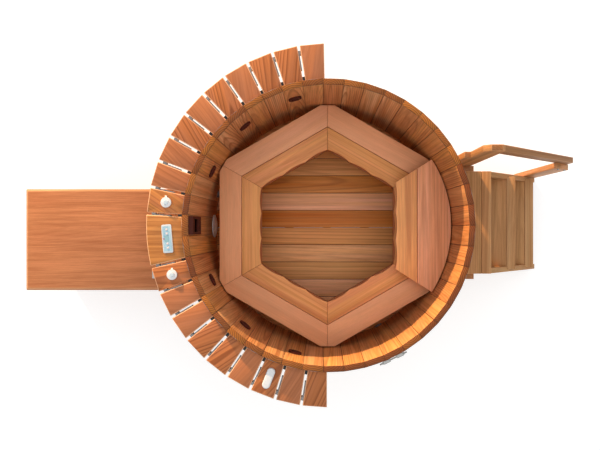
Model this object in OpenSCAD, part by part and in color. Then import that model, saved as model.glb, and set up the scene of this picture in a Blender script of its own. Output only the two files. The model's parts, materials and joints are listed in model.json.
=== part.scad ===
/* [Tub shell] */
// Distance from the tub's axis to the outer face of a stave
tub_radius = 915; // [880:1:950]
// Height of the rim above the ground
rim_height = 1220; // [1180:1:1300]
// Thickness of a stave
stave_thickness = 38; // [32:1:44]
// Number of staves round the tub
stave_count = 43; // [41:2:43]
// Joint left between two neighbouring staves
stave_joint = 0.5; // [0.3:0.1:1]
// Height of the stave ends above the ground
stave_lift = 30; // [15:1:40]
// Depth of the groove that holds the floor
croze_depth = 10; // [6:1:14]

/* [Floor] */
// Thickness of the floor boards
floor_thickness = 38; // [30:1:44]
// Width of one floor board
floor_board_width = 136; // [110:1:160]
// Height of the joists under the floor
joist_height = 89; // [75:1:100]
// Width of a joist
joist_width = 64; // [40:1:80]
// Distance from one joist to the next
joist_pitch = 300; // [250:5:330]
// Number of joists, an odd number so that one crosses the centre
joist_count = 5; // [3:2:5]

/* [Hoops] */
// Width of a hoop band
hoop_width = 32; // [25:1:38]
// Thickness of a hoop band
hoop_thickness = 2; // [1.5:0.1:3]
// Diameter of the hoop's tension bolt
hoop_bolt_diameter = 10; // [8:1:12]
// Length of one hoop lug along the band
lug_length = 46; // [36:1:60]
// Gap between the two lugs of a hoop
lug_gap = 44; // [30:1:60]
// Height of the second hoop above the ground
second_hoop = 330; // [310:1:400]
// Height of the third hoop above the ground
third_hoop = 560; // [500:1:600]

/* [Bench] */
// Height of the bench top above the floor
bench_height = 455; // [400:1:480]
// Thickness of the bench and seat planks
bench_thickness = 38; // [30:1:44]
// Gap between the bench's long edges and the tub wall
bench_wall_gap = 100; // [80:1:130]
// Width of the outer bench planks
outer_plank_width = 157; // [140:1:170]
// Width of the inner bench planks
inner_plank_width = 140; // [120:1:150]
// Gap between bench planks
plank_gap = 4; // [2:0.5:6]
// Gap between the cut bench corners and the tub wall
bench_corner_gap = 9; // [6:1:20]
// Number of scallops along one inner plank
scallops_per_side = 3; // [2:1:5]
// Depth of the scalloped edge
scallop_depth = 12; // [6:1:16]
// Height of the apron board under the inner planks
apron_height = 58; // [40:1:80]
// Thickness of the apron boards
apron_thickness = 25; // [18:1:32]
// Height that the raised seat stands above the bench
seat_rise = 109; // [90:1:130]
// Half of the angle that the raised seat spans
seat_half_angle = 32.5; // [31:0.5:36]
// Width of the raised seat's inner plank
seat_inner_plank = 153; // [140:1:165]
// Gap between the raised seat's curved edge and the tub wall
seat_wall_gap = 8; // [6:1:20]
// Thickness of the bearers and legs under the bench
support_thickness = 38; // [30:1:44]
// Depth of the bearers and width of the legs under the bench
support_depth = 89; // [70:1:100]

/* [Jets and fittings] */
// Staves from the rear centre stave to the next jet, and between jets
jet_stave_step = 3; // [2:1:3]
// Depth of the three jets of one side below the rim, nearest the centre stave first
jet_depths = [401, 334, 281];
// Diameter of a jet's face flange
jet_face_diameter = 88; // [80:1:96]
// Diameter of the hole in the stave for a jet
jet_hole_diameter = 60; // [54:1:66]
// Diameter of the turning nozzle in a jet
jet_nozzle_diameter = 44; // [38:1:48]
// Diameter of the suction cover
suction_cover_diameter = 175; // [150:1:185]
// Height of the suction fitting above the floor
suction_height = 108; // [95:1:120]
// Diameter of the underwater light's lens
light_diameter = 62; // [54:1:70]
// Height of the underwater light above the floor
light_height = 119; // [100:1:140]
// Number of staves from the rear centre stave to the drain
drain_stave = 14; // [12:1:16]
// Height of the drain above the floor
drain_height = 38; // [34:1:60]
// Inside diameter of the drain outlet
drain_bore = 19; // [15:0.5:22]

/* [Skimmer] */
// Width of the skimmer face plate
skimmer_width = 118; // [112:1:120]
// Height of the skimmer face plate
skimmer_height = 395; // [380:1:410]
// Distance from the rim down to the face plate
skimmer_drop = 15; // [10:1:30]
// Depth of the skimmer housing behind the staves
skimmer_depth = 175; // [170:1:185]
// Wall thickness of the skimmer housing
skimmer_wall = 5; // [4:0.5:6]

/* [Shelf] */
// Distance from the staves' outer face to the shelf's outer edge
shelf_width = 235; // [225:1:285]
// Distance from the rim down to the shelf's top
shelf_drop = 60; // [50:1:80]
// Thickness of the shelf slats
slat_thickness = 38; // [28:1:42]
// Angle where the shelf starts
shelf_start = 91; // [88:0.5:94]
// Angle from one slat to the next
slat_pitch = 8.52; // [8.4:0.02:8.6]
// Number of slat places, two of which the control board fills
slat_places = 21; // [19:2:21]
// Gap between two slats
slat_gap = 16; // [10:1:20]
// Width of the outer support ring's top
ring_width = 22; // [18:1:30]
// Height of the outer support ring
ring_height = 48; // [40:1:55]
// Distance from the shelf's edge in to the support ring
ring_inset = 20; // [15:1:40]
// Thickness of the spacer fins, arms and wall plates
bracket_thickness = 8; // [5:1:10]

/* [Controls] */
// Diameter of an air control knob
knob_diameter = 66; // [58:1:72]
// Height of an air control knob
knob_height = 16; // [12:1:22]
// Length of the control panel
panel_length = 180; // [170:1:190]
// Width of the control panel
panel_width = 63; // [58:1:68]
// Diameter of a panel key
key_diameter = 15; // [12:1:17]
// Travel of a panel key
key_travel = 1.5; // [1:0.1:2]
// Length of the touch pad
pad_length = 136; // [120:1:145]
// Width of the touch pad
pad_width = 52; // [46:1:58]
// Travel of the touch pad
pad_travel = 3; // [2:0.1:4]

/* [Equipment box] */
// Gap between the box's top and the skimmer housing above it
box_clearance = 70; // [55:1:90]
// Length of the lid from its hinge pin to its far edge
lid_length = 920; // [880:1:1000]
// Width of the lid
box_width = 702; // [680:1:740]
// Sideways place of the box's centre line
box_centre = -97; // [-110:1:-85]
// Distance from the staves to the lid's hinge pin
hinge_distance = 260; // [250:1:275]
// Thickness of the lid and of the fixed top board
lid_thickness = 38; // [30:1:44]
// Overhang of the lid over the walls
lid_overhang = 15; // [8:1:25]
// Thickness of the box wall boards
box_board = 19; // [16:1:25]
// Width of one wall board
box_board_width = 136; // [120:1:150]
// Side of the square posts in the box
box_post = 38; // [30:1:45]

/* [Equipment] */
// Outside diameter of the water pipes
pipe_diameter = 50; // [46:1:52]
// Outside diameter of the jet manifold
manifold_diameter = 48; // [42:1:50]
// Diameter of the pump motor
motor_diameter = 165; // [150:1:180]
// Diameter of the filter canister
filter_diameter = 190; // [170:1:196]
// Height of the filter canister above the box floor
filter_height = 430; // [400:1:460]

/* [Steps] */
// Rise from one tread to the next
step_rise = 233; // [220:1:240]
// Width over the two stringers
steps_width = 720; // [690:1:740]
// Sideways place of the steps' centre line
steps_centre = 23; // [15:1:30]
// Thickness of the step boards
step_board = 38; // [32:1:42]
// Depth of the top tread from the tub to its front edge
top_tread_depth = 234; // [215:1:260]
// Going from the top tread to the middle tread
upper_going = 238; // [225:1:250]
// Going from the middle tread to the lowest tread
lower_going = 207; // [195:1:220]
// Width of the front board of each tread
nosing_width = 66; // [55:1:80]
// Depth of the handrail board
rail_depth = 89; // [75:1:100]
// Height of the handrail's top above the top tread
rail_rise = 876; // [850:1:900]
// Slope of the handrail
rail_pitch = 46; // [44:0.5:48]

/* [Hidden] */
$fn = 48;

// Small amounts shared by many pieces
seat_gap = 0.3;        // between a moving piece and its seat
run_gap = 0.08;        // radial clearance of a turning fit
hole_gap = 0.4;        // radial clearance round a fixed piece in its hole
over = 1;              // extra length of a cutting solid
skin = 0.01;           // overlap that fuses two shapes of one solid

cedar_light = [0.80, 0.54, 0.34];
cedar_pink = [0.74, 0.46, 0.32];
cedar_brown = [0.62, 0.34, 0.17];
dark_plastic = [0.22, 0.11, 0.09];
white_plastic = [0.93, 0.94, 0.95];
grey_plastic = [0.55, 0.57, 0.58];
steel_grey = [0.60, 0.60, 0.58];
black_steel = [0.08, 0.08, 0.09];

// Tub
inner_radius = tub_radius - stave_thickness;
stave_pitch = 360 / stave_count;
stave_half = stave_pitch / 2;
outer_corner = tub_radius / cos(stave_half);
floor_bottom = joist_height;
floor_top = joist_height + floor_thickness;
croze_clear = 0.3;
floor_radius = inner_radius + croze_depth - croze_clear;
rear = 180;            // direction of the skimmer stave

function stave_angle(i) = rear + i * stave_pitch;

// A flat trapezoid between two flats, cut by planes through the axis, less a side gap
module wedge(near, far, half_angle, side_gap) {
    slack = side_gap / cos(half_angle);
    polygon([
        [near, -near * tan(half_angle) + slack],
        [far, -far * tan(half_angle) + slack],
        [far, far * tan(half_angle) - slack],
        [near, near * tan(half_angle) - slack]
    ]);
}

// Turns a piece drawn on +X round the tub's axis
module at_angle(a) { rotate([0, 0, a]) children(); }

// A cylinder along +X from x0 to x1
module rod_x(x0, x1, d, z = 0, y = 0) {
    translate([x0, y, z]) rotate([0, 90, 0]) cylinder(h = x1 - x0, d = d);
}

// A cylinder along +Y from y0 to y1
module rod_y(y0, y1, d, x = 0, z = 0) {
    translate([x, y0, z]) rotate([-90, 0, 0]) cylinder(h = y1 - y0, d = d);
}

// A box given by two corners
module span(a, b) { translate(a) cube(b - a); }

// A flat shape of XZ points, standing with its near face at y0
module side_board(y0, thickness, points) {
    translate([0, y0 + thickness, 0]) rotate([90, 0, 0])
        linear_extrude(thickness) polygon(points);
}

// A rectangle with round corners, centred
module round_rect(length, width, r) {
    union() {
        square([length - 2 * r, width], center = true);
        square([length, width - 2 * r], center = true);
        for (x = [-1, 1], y = [-1, 1])
            translate([x * (length / 2 - r), y * (width / 2 - r)]) circle(r);
    }
}

// ---------------------------------------------------------------- staves
croze_bottom = floor_bottom - croze_clear;
croze_height = floor_thickness + 2 * croze_clear;

module stave_blank() {
    difference() {
        translate([0, 0, stave_lift]) linear_extrude(rim_height - stave_lift)
            wedge(inner_radius, tub_radius, stave_half, stave_joint / 2);
        span([inner_radius - over, -tub_radius, croze_bottom],
             [inner_radius + croze_depth, tub_radius, croze_bottom + croze_height]);
    }
}

jet_staves = [for (side = [1, -1], i = [1:3]) side * i * jet_stave_step];
light_stave = -2;
fitted = concat([0, light_stave, drain_stave], jet_staves);

function is_fitted(i) = len([for (f = fitted) if ((f - i) % stave_count == 0) f]) > 0;
function jet_height(i) = rim_height - jet_depths[round(abs(i) / jet_stave_step) - 1];

module staves() {
    color(cedar_pink)
    for (i = [0:stave_count - 1])
        if (!is_fitted(i)) at_angle(stave_angle(i)) stave_blank();
}

module wall_hole(z, d) {
    rod_x(inner_radius - croze_depth, tub_radius + over, d, z);
}

suction_z = floor_top + suction_height;
light_z = floor_top + light_height;
drain_z = floor_top + drain_height;
union_diameter = pipe_diameter;
light_body_diameter = 34;
drain_body_diameter = 34;
pipe_inside = pipe_diameter - 8;

// The skimmer's window in the rear stave
window_width = skimmer_width - 22;
window_drop = 150;     // from the face plate's top to the window
window_margin = 20;    // from the window to the face plate's bottom
window_top = rim_height - skimmer_drop - window_drop;
window_bottom = rim_height - skimmer_drop - skimmer_height + window_margin;
box_height = window_bottom - box_clearance;

module fitted_staves() {
    color(cedar_pink) {
        at_angle(stave_angle(0)) difference() {
            stave_blank();
            wall_hole(suction_z, union_diameter + 2 * hole_gap);
            span([inner_radius - over, -window_width / 2, window_bottom],
                 [tub_radius + over, window_width / 2, window_top]);
        }
        for (i = jet_staves) at_angle(stave_angle(i)) difference() {
            stave_blank();
            wall_hole(jet_height(i), jet_hole_diameter + 2 * hole_gap);
        }
        at_angle(stave_angle(light_stave)) difference() {
            stave_blank();
            wall_hole(light_z, light_body_diameter + 2 * hole_gap);
        }
        at_angle(stave_angle(drain_stave)) difference() {
            stave_blank();
            wall_hole(drain_z, drain_body_diameter + 2 * hole_gap);
        }
    }
}

// ---------------------------------------------------------------- floor
board_joint = 0.6;
board_shift = 0.42;        // of a board's width, towards +Y
board_rows = ceil(floor_radius / floor_board_width + 0.5);

module tub_floor() {
    color(cedar_light)
    for (row = [-board_rows:board_rows]) {
        y0 = (row - 0.5 + board_shift) * floor_board_width + board_joint / 2;
        y1 = (row + 0.5 + board_shift) * floor_board_width - board_joint / 2;
        if (min(abs(y0), abs(y1)) < floor_radius - over)
            intersection() {
                translate([0, 0, floor_bottom])
                    cylinder(h = floor_thickness, r = floor_radius, $fn = 180);
                span([-floor_radius - over, y0, floor_bottom - over],
                     [floor_radius + over, y1, floor_top + over]);
            }
    }
}

module floor_joists() {
    color(cedar_brown)
    for (k = [0:joist_count - 1]) {
        x = (k - (joist_count - 1) / 2) * joist_pitch;
        far = abs(x) + joist_width / 2;
        reach = sqrt(pow(inner_radius - over * 6, 2) - pow(far, 2));
        span([x - joist_width / 2, -reach, 0], [x + joist_width / 2, reach, joist_height]);
    }
}

// ---------------------------------------------------------------- hoops
hoop_inner = outer_corner + seat_gap;
hoop_outer = hoop_inner + hoop_thickness;
rim_hoop_drop = 35;
hoop_levels = [floor_bottom + 6, second_hoop, third_hoop, box_height - 15, rim_height - rim_hoop_drop];
hoop_lug_angle = [296, 328, 296, 328, 296];
lug_height = hoop_width - 4;
lug_depth = 20;
lug_bolt_reach = hoop_outer + lug_depth / 2 + 1;

module hoops() {
    color(steel_grey)
    for (k = [0:len(hoop_levels) - 1])
        at_angle(hoop_lug_angle[k]) translate([0, 0, hoop_levels[k] - hoop_width / 2])
            difference() {
                cylinder(h = hoop_width, r = hoop_outer, $fn = 180);
                translate([0, 0, -over]) cylinder(h = hoop_width + 2 * over, r = hoop_inner, $fn = 180);
                span([0, -lug_gap / 2, -over], [hoop_outer + over, lug_gap / 2, hoop_width + over]);
            }
}

module hoop_bolt() {
    half = lug_gap / 2 + lug_length + 26;
    nut = hoop_bolt_diameter * 1.7;
    rod_y(-half, half, hoop_bolt_diameter, lug_bolt_reach);
    for (s = [-1, 1])
        translate([lug_bolt_reach, s * (lug_gap / 2 + lug_length + nut / 4 + seat_gap), 0])
            rotate([90, 0, 0]) cylinder(h = nut / 2, d = nut, center = true, $fn = 6);
}

module hoop_lugs() {
    color(steel_grey)
    for (k = [0:len(hoop_levels) - 1])
        at_angle(hoop_lug_angle[k]) translate([0, 0, hoop_levels[k]]) {
            for (s = [-1, 1])
                difference() {
                    translate([hoop_outer - 8, s * (lug_gap + lug_length) / 2, 0])
                        translate([0, -lug_length / 2, -lug_height / 2])
                            cube([lug_depth + 8, lug_length, lug_height]);
                    translate([0, 0, -lug_height / 2 - over])
                        cylinder(h = lug_height + 2 * over, r = hoop_outer, $fn = 180);
                    rod_y(-lug_gap - 2 * lug_length, lug_gap + 2 * lug_length,
                          hoop_bolt_diameter + 2 * hole_gap, lug_bolt_reach);
                }
            hoop_bolt();
        }
}

// ---------------------------------------------------------------- bench
bench_top = floor_top + bench_height;
bench_under = bench_top - bench_thickness;
bench_outer = inner_radius - bench_wall_gap;
bench_seam = bench_outer - outer_plank_width;
inner_far = bench_seam - plank_gap;
bench_inner = inner_far - inner_plank_width;
corner_reach = inner_radius - bench_corner_gap;
side_joint = plank_gap / 4;

// Inner edge with scallops: points from one end of the side to the other
function scallop(t) = scallop_depth * pow(abs(sin(180 * scallops_per_side * t)), 0.7);
scallop_steps = 8 * scallops_per_side;

module scalloped_wedge(near, far, half_angle, side_gap) {
    slack = side_gap / cos(half_angle);
    half = near * tan(half_angle) - slack;
    polygon(concat(
        [for (k = [0:scallop_steps])
            let (t = k / scallop_steps)
            [near + scallop(t), half * (1 - 2 * t)]],
        [[far, -far * tan(half_angle) + slack], [far, far * tan(half_angle) - slack]]
    ));
}

// Cuts the outer bench corners back from the tub wall
module corner_cut() {
    intersection_for (s = [-1, 1])
        rotate([0, 0, s * 30]) translate([-tub_radius, -tub_radius])
            square([tub_radius + corner_reach, 2 * tub_radius]);
}

module bench_outer_planks() {
    color(cedar_pink)
    for (side = [0:5]) at_angle(side * 60)
        translate([0, 0, bench_under]) linear_extrude(bench_thickness)
            intersection() {
                wedge(bench_seam, bench_outer, 30, side_joint);
                corner_cut();
            }
}

module bench_inner_planks() {
    color(cedar_light)
    for (side = [0:5]) at_angle(side * 60)
        translate([0, 0, bench_under]) linear_extrude(bench_thickness)
            scalloped_wedge(bench_inner, inner_far, 30, side_joint);
}

apron_face = bench_inner + 3;   // fills the scallops from below

module bench_apron() {
    color(cedar_brown)
    for (side = [0:5]) at_angle(side * 60)
        translate([0, 0, bench_under - apron_height]) linear_extrude(apron_height)
            wedge(apron_face, apron_face + apron_thickness, 30, side_joint);
}

// Bearers lie under the bench's mitred corners, on two legs each
bearer_inner = (apron_face + apron_thickness) / cos(30) + 6;
bearer_outer = corner_reach - 12;
bearer_under = bench_under - support_depth;
seat_under = bench_top + seat_rise - bench_thickness;

module bench_supports() {
    half = support_thickness / 2;
    color(cedar_brown) {
        for (side = [0:5]) at_angle(side * 60 + 30) {
            span([bearer_inner, -half, bearer_under], [bearer_outer, half, bench_under]);
            for (x = [bearer_inner, bearer_outer - support_depth])
                span([x, -half, floor_top], [x + support_depth, half, bearer_under - seat_gap]);
        }
        for (y = [-250, 0, 250])
            span([bench_inner + scallop_depth + 20, y - half, bench_top],
                 [bench_outer - 20, y + half, seat_under]);
    }
}

seat_outer = inner_radius - seat_wall_gap;
seat_seam = bench_inner + seat_inner_plank;

module raised_seat() {
    color(cedar_pink) translate([0, 0, seat_under]) {
        linear_extrude(bench_thickness)
            scalloped_wedge(bench_inner, seat_seam, seat_half_angle, 0);
        intersection() {
            cylinder(h = bench_thickness, r = seat_outer, $fn = 180);
            linear_extrude(bench_thickness)
                wedge(seat_seam + plank_gap, 2 * seat_outer, seat_half_angle, 0);
        }
    }
}

// ---------------------------------------------------------------- jets
pipe_stand = 35;
jet_reach = tub_radius + pipe_stand;   // axis of a jet's tee and of the ring pipes
jet_face = inner_radius - 12;
jet_tee_half = 34;
jet_tee_diameter = 44;
jet_bore = 34;
nozzle_depth = 30;
nozzle_stand = 4;

module jet_body() {
    difference() {
        union() {
            rod_x(jet_face, inner_radius, jet_face_diameter);
            rod_x(inner_radius - skin, jet_reach, jet_hole_diameter);
            translate([tub_radius, 0, 0]) rotate([0, 90, 0])
                cylinder(h = 12, d = jet_hole_diameter + 24, $fn = 6);
            translate([jet_reach, 0, -jet_tee_half])
                cylinder(h = 2 * jet_tee_half, d = jet_tee_diameter);
        }
        rod_x(jet_face - over, jet_face + nozzle_depth, jet_nozzle_diameter + 2 * run_gap);
        rod_x(jet_face, jet_reach, jet_bore);
        translate([jet_reach, 0, 0]) cylinder(h = jet_tee_half + over, d = 22);
        translate([jet_reach, 0, -jet_tee_half - over]) cylinder(h = jet_tee_half + over, d = 10);
    }
}

module jet_bodies() {
    color(dark_plastic)
    for (i = jet_staves) at_angle(stave_angle(i)) translate([0, 0, jet_height(i)]) jet_body();
}

// The turning nozzle has an offset outlet and two finger ribs
module jet_nozzle(n) {
    i = jet_staves[n - 1];
    front = jet_face - nozzle_stand;
    rib = jet_nozzle_diameter / 2 - 6;
    color(dark_plastic) at_angle(stave_angle(i)) translate([0, 0, jet_height(i)])
        difference() {
            union() {
                rod_x(front, jet_face + nozzle_depth - seat_gap, jet_nozzle_diameter);
                for (s = [-1, 1])
                    span([front - 3, s * (rib + 1) - 2, -7], [front + skin, s * (rib + 1) + 2, 7]);
            }
            rod_x(front - 3 - over, jet_face + nozzle_depth + over, 16, 4);
        }
}

module jet_nozzle_1() { jet_nozzle(1); }
module jet_nozzle_2() { jet_nozzle(2); }
module jet_nozzle_3() { jet_nozzle(3); }
module jet_nozzle_4() { jet_nozzle(4); }
module jet_nozzle_5() { jet_nozzle(5); }
module jet_nozzle_6() { jet_nozzle(6); }

// ---------------------------------------------------------------- skimmer
plate_thickness = 8;
plate_face = inner_radius - plate_thickness;
plate_top = rim_height - skimmer_drop;
lip_depth = 20;
housing_back = tub_radius + skimmer_depth;
housing_half = window_width / 2 - hole_gap;
chamber_half = housing_half - skimmer_wall;
chamber_top = window_top - hole_gap - skimmer_wall;
chamber_bottom = window_bottom + hole_gap + skimmer_wall;
weir_height = 95;
weir_hinge_z = chamber_bottom + 100;
weir_hinge_reach = inner_radius + 14;
weir_pin = 6;
outlet_reach = housing_back - skimmer_wall - pipe_diameter / 2;

module skimmer_housing() {
    color(dark_plastic) at_angle(rear) difference() {
        span([inner_radius, -housing_half, chamber_bottom - skimmer_wall],
             [housing_back, housing_half, chamber_top + skimmer_wall]);
        span([inner_radius - over, -chamber_half, chamber_bottom],
             [housing_back - skimmer_wall, chamber_half, chamber_top]);
        translate([outlet_reach, 0, chamber_bottom - 2 * skimmer_wall])
            cylinder(h = 3 * skimmer_wall, d = pipe_inside);
        rod_y(-housing_half - over, housing_half + over, weir_pin + 2 * run_gap,
              weir_hinge_reach, weir_hinge_z);
    }
}

module skimmer_faceplate() {
    half = skimmer_width / 2;
    color(dark_plastic) at_angle(rear) {
        difference() {
            union() {
                span([plate_face, -half, plate_top - skimmer_height],
                     [inner_radius, half, plate_top]);
                span([plate_face - lip_depth, -half, plate_top - 8],
                     [plate_face + skin, half, plate_top]);
            }
            span([plate_face - over, -chamber_half, weir_hinge_z - 5],
                 [inner_radius + over, chamber_half, chamber_top]);
            for (k = [0:5])
                span([plate_face - over, -chamber_half + 4, chamber_bottom + 4 + k * 15],
                     [inner_radius + over, chamber_half - 4, chamber_bottom + 11 + k * 15]);
        }
    }
}

// The weir's flap stands on a pin that runs in the housing's sides
module skimmer_weir() {
    half = chamber_half - 2;
    color(dark_plastic) at_angle(rear) {
        rod_y(-housing_half + 1, housing_half - 1, weir_pin, weir_hinge_reach, weir_hinge_z);
        span([weir_hinge_reach - 2.5, -half, weir_hinge_z],
             [weir_hinge_reach + 2.5, half, weir_hinge_z + weir_height]);
    }
}

basket_gap = 4;
basket_near = tub_radius + 8;
basket_far = housing_back - skimmer_wall - basket_gap;
basket_half = chamber_half - basket_gap;
basket_height = 85;
basket_wall = 3;

module skimmer_basket() {
    bottom = chamber_bottom + seat_gap;
    color(white_plastic) at_angle(rear) difference() {
        span([basket_near, -basket_half, bottom], [basket_far, basket_half, bottom + basket_height]);
        span([basket_near + basket_wall, -basket_half + basket_wall, bottom + basket_wall],
             [basket_far - basket_wall, basket_half - basket_wall, bottom + basket_height + over]);
        for (x = [1:6], z = [1:3])
            rod_y(-basket_half - over, basket_half + over, 9,
                  basket_near + x * (basket_far - basket_near) / 7, bottom + z * 20);
    }
}

// ---------------------------------------------------------------- wall fittings
cover_rim = 8;
cover_dome = 16;

cover_wall = 6;
cover_hole = 9;
cover_hole_pitch = 22;

// The cover is wider than its stave, so its seat keeps clear of the next two
cover_seat = (inner_radius - suction_cover_diameter / 2 * sin(stave_pitch)) / cos(stave_pitch)
             - seat_gap;

// Half of a dome's outline: an arc over a straight rim
module dome_half(r, rim, dome) {
    sphere_r = (pow(r, 2) + pow(dome, 2)) / (2 * dome);
    square([r, rim]);
    intersection() {
        translate([0, rim + dome - sphere_r]) circle(sphere_r, $fn = 360);
        translate([0, rim - skin]) square([r, dome + over]);
    }
}

module suction_cover() {
    r = suction_cover_diameter / 2;
    color(white_plastic) at_angle(rear) translate([cover_seat, 0, suction_z]) difference() {
        rotate([0, -90, 0]) rotate_extrude($fn = 96) dome_half(r, cover_rim, cover_dome);
        rod_x(-cover_rim, over, 2 * (r - 2 * cover_wall));
        for (ring = [1:3], k = [0:ring * 6 - 1])
            rotate([k * 60 / ring, 0, 0])
                rod_x(-cover_rim - cover_dome - over, over, cover_hole, 0, ring * cover_hole_pitch);
    }
}

union_stand = 24;
union_reach = tub_radius + union_stand;

// A tube through a stave with a flange inside and a nut outside
module wall_union(d, bore, flange, z, reach) {
    difference() {
        union() {
            rod_x(inner_radius - 6, inner_radius, flange, z);
            rod_x(inner_radius - skin, reach, d, z);
            translate([tub_radius, 0, z]) rotate([0, 90, 0])
                cylinder(h = 14, d = d + 24, $fn = 6);
        }
        rod_x(inner_radius - 6 - over, reach + over, bore, z);
    }
}

module wall_unions() {
    color(grey_plastic) {
        at_angle(stave_angle(0))
            wall_union(union_diameter, union_diameter - 8, union_diameter + 24, suction_z, union_reach);
        at_angle(stave_angle(light_stave))
            wall_union(light_body_diameter, light_body_diameter - 8, light_body_diameter + 10,
                       light_z, union_reach);
        at_angle(stave_angle(drain_stave))
            wall_union(drain_body_diameter, drain_bore + 4, drain_body_diameter + 26, drain_z, union_reach);
    }
}

module pool_light() {
    face = inner_radius - 6;
    color("lightsteelblue") at_angle(stave_angle(light_stave)) translate([0, 0, light_z]) {
        difference() {
            rod_x(face - 8, inner_radius, light_diameter);
            rod_x(face, inner_radius + over, light_body_diameter + 10 + 2 * hole_gap);
        }
        intersection() {
            translate([face - 8 + light_diameter - 9, 0, 0]) sphere(r = light_diameter);
            rod_x(face - 30, face - 8, light_diameter - 14);
        }
    }
}

valve_length = 110;
valve_end = union_reach + valve_length;
valve_ball_reach = union_reach + 45;
valve_body_diameter = drain_bore + 13;

module drain_valve() {
    color("goldenrod") at_angle(stave_angle(drain_stave)) translate([0, 0, drain_z]) difference() {
        union() {
            rod_x(union_reach, valve_end, valve_body_diameter);
            rod_x(valve_ball_reach - 22, valve_ball_reach + 22, valve_body_diameter + 12);
            translate([valve_ball_reach, 0, 0]) cylinder(h = 34, d = 18);
            translate([valve_end - 30, 0, 0]) rotate([0, 90, 0])
                cylinder(h = 14, d = valve_body_diameter + 10, $fn = 6);
        }
        rod_x(union_reach - over, valve_end + over, drain_bore);
        translate([valve_ball_reach, 0, drain_bore / 2 + 3]) cylinder(h = 40, d = 9 + 2 * run_gap);
    }
}

module drain_handle() {
    color("firebrick") at_angle(stave_angle(drain_stave)) translate([valve_ball_reach, 0, drain_z]) {
        translate([0, 0, drain_bore / 2 + 3 + seat_gap])
            cylinder(h = 34 - drain_bore / 2 + 6, d = 9);
        difference() {
            translate([-9, -9, 34 + seat_gap]) cube([90, 18, 5]);
            translate([0, 0, 34]) cylinder(h = 10, d = 9 - skin);
        }
    }
}

// ---------------------------------------------------------------- shelf
shelf_radius = tub_radius + shelf_width;
shelf_top = rim_height - shelf_drop;
shelf_under = shelf_top - slat_thickness;
slat_near = outer_corner + 2.5;
ring_outer = shelf_radius - ring_inset;
ring_inner = ring_outer - ring_width;
board_place = (slat_places - 1) / 2;     // first of the two places of the control board
ledger_inner = outer_corner + seat_gap;
ledger_width = 44;
ledger_height = 40;
ledger_outer = ledger_inner + ledger_width;
control_reach = tub_radius + shelf_width / 2 + 2.5;
upper_place = board_place - 1;
lower_place = board_place + 2;
pad_place = slat_places - 3;
control_body_diameter = 46;

function slat_angle(k) = shelf_start + (k + 0.5) * slat_pitch;
function gap_angle(k) = shelf_start + k * slat_pitch;

module slat() {
    translate([0, 0, shelf_under]) linear_extrude(slat_thickness)
        wedge(slat_near, shelf_radius, slat_pitch / 2, slat_gap / 2);
}

module control_hole(d) {
    translate([control_reach, 0, shelf_under - over]) cylinder(h = slat_thickness + 2 * over, d = d);
}

module shelf_slats() {
    color(cedar_pink)
    for (k = [0:slat_places - 1])
        if (k != board_place && k != board_place + 1)
            at_angle(slat_angle(k)) difference() {
                slat();
                if (k == upper_place || k == lower_place)
                    control_hole(control_body_diameter + 2 * hole_gap);
                if (k == pad_place)
                    control_hole(pad_stem_diameter + 2 * hole_gap);
            }
}

board_angle = gap_angle(board_place + 1);
panel_reach = tub_radius + shelf_width / 2 - 10.5;
panel_body_depth = 30;
panel_body_length = panel_length - 24;
panel_body_width = panel_width - 16;

module control_board() {
    color(cedar_light) at_angle(board_angle) difference() {
        intersection() {
            translate([0, 0, shelf_under])
                cylinder(h = slat_thickness, r = shelf_radius / cos(slat_pitch / 2), $fn = 180);
            translate([0, 0, shelf_under]) linear_extrude(slat_thickness)
                wedge(slat_near, shelf_radius * 1.1, slat_pitch, slat_gap / 2);
        }
        translate([panel_reach - panel_body_width / 2 - hole_gap,
                   -panel_body_length / 2 - hole_gap, shelf_top - panel_body_depth - hole_gap])
            cube([panel_body_width + 2 * hole_gap, panel_body_length + 2 * hole_gap,
                  panel_body_depth + slat_thickness]);
    }
}

// A part of a ring about the tub's axis, between two angles
module arc_band(r0, r1, h, a0, a1) {
    rotate([0, 0, a0]) rotate_extrude(angle = a1 - a0, $fn = 180)
        translate([r0, 0]) square([r1 - r0, h]);
}

shelf_end = gap_angle(slat_places);
ring_end_trim = 1.2;
fin_length = 100;

module shelf_ring() {
    color(steel_grey) union() {
        translate([0, 0, shelf_under - ring_height])
            arc_band(ring_inner, ring_outer, ring_height,
                     shelf_start + ring_end_trim, shelf_end - ring_end_trim);
        for (k = [1:slat_places - 1])
            if (k != board_place + 1) at_angle(gap_angle(k))
                span([ring_inner - fin_length, -bracket_thickness / 2 + 4, shelf_under - ledger_height],
                     [ring_inner + 2, bracket_thickness / 2 + 4, shelf_under]);
    }
}

module shelf_ledger() {
    color(black_steel) translate([0, 0, shelf_under - ledger_height])
        arc_band(ledger_inner, ledger_outer, ledger_height,
                 shelf_start + ring_end_trim, shelf_end - ring_end_trim);
}

// Arms join the ledger to the outer ring, with a gusset down the tub wall
bracket_drop = 80;
arm_height = 26;
plate_width = 12;
arm_offset = 0.78 * slat_pitch;
plain_places = [for (k = [0:slat_places - 1])
    if (k != board_place && k != board_place + 1 && k != upper_place
        && k != lower_place && k != pad_place) k];
arm_angles = concat([for (k = plain_places) slat_angle(k)],
                    [board_angle - arm_offset, board_angle + arm_offset]);

// An arm over the skimmer has a shallow gusset that clears the housing
over_skimmer = shelf_under - chamber_top - skimmer_wall - 2;
function arm_drop(a) = abs(a - rear) < slat_pitch / 2 ? min(bracket_drop, over_skimmer) : bracket_drop;

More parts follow.
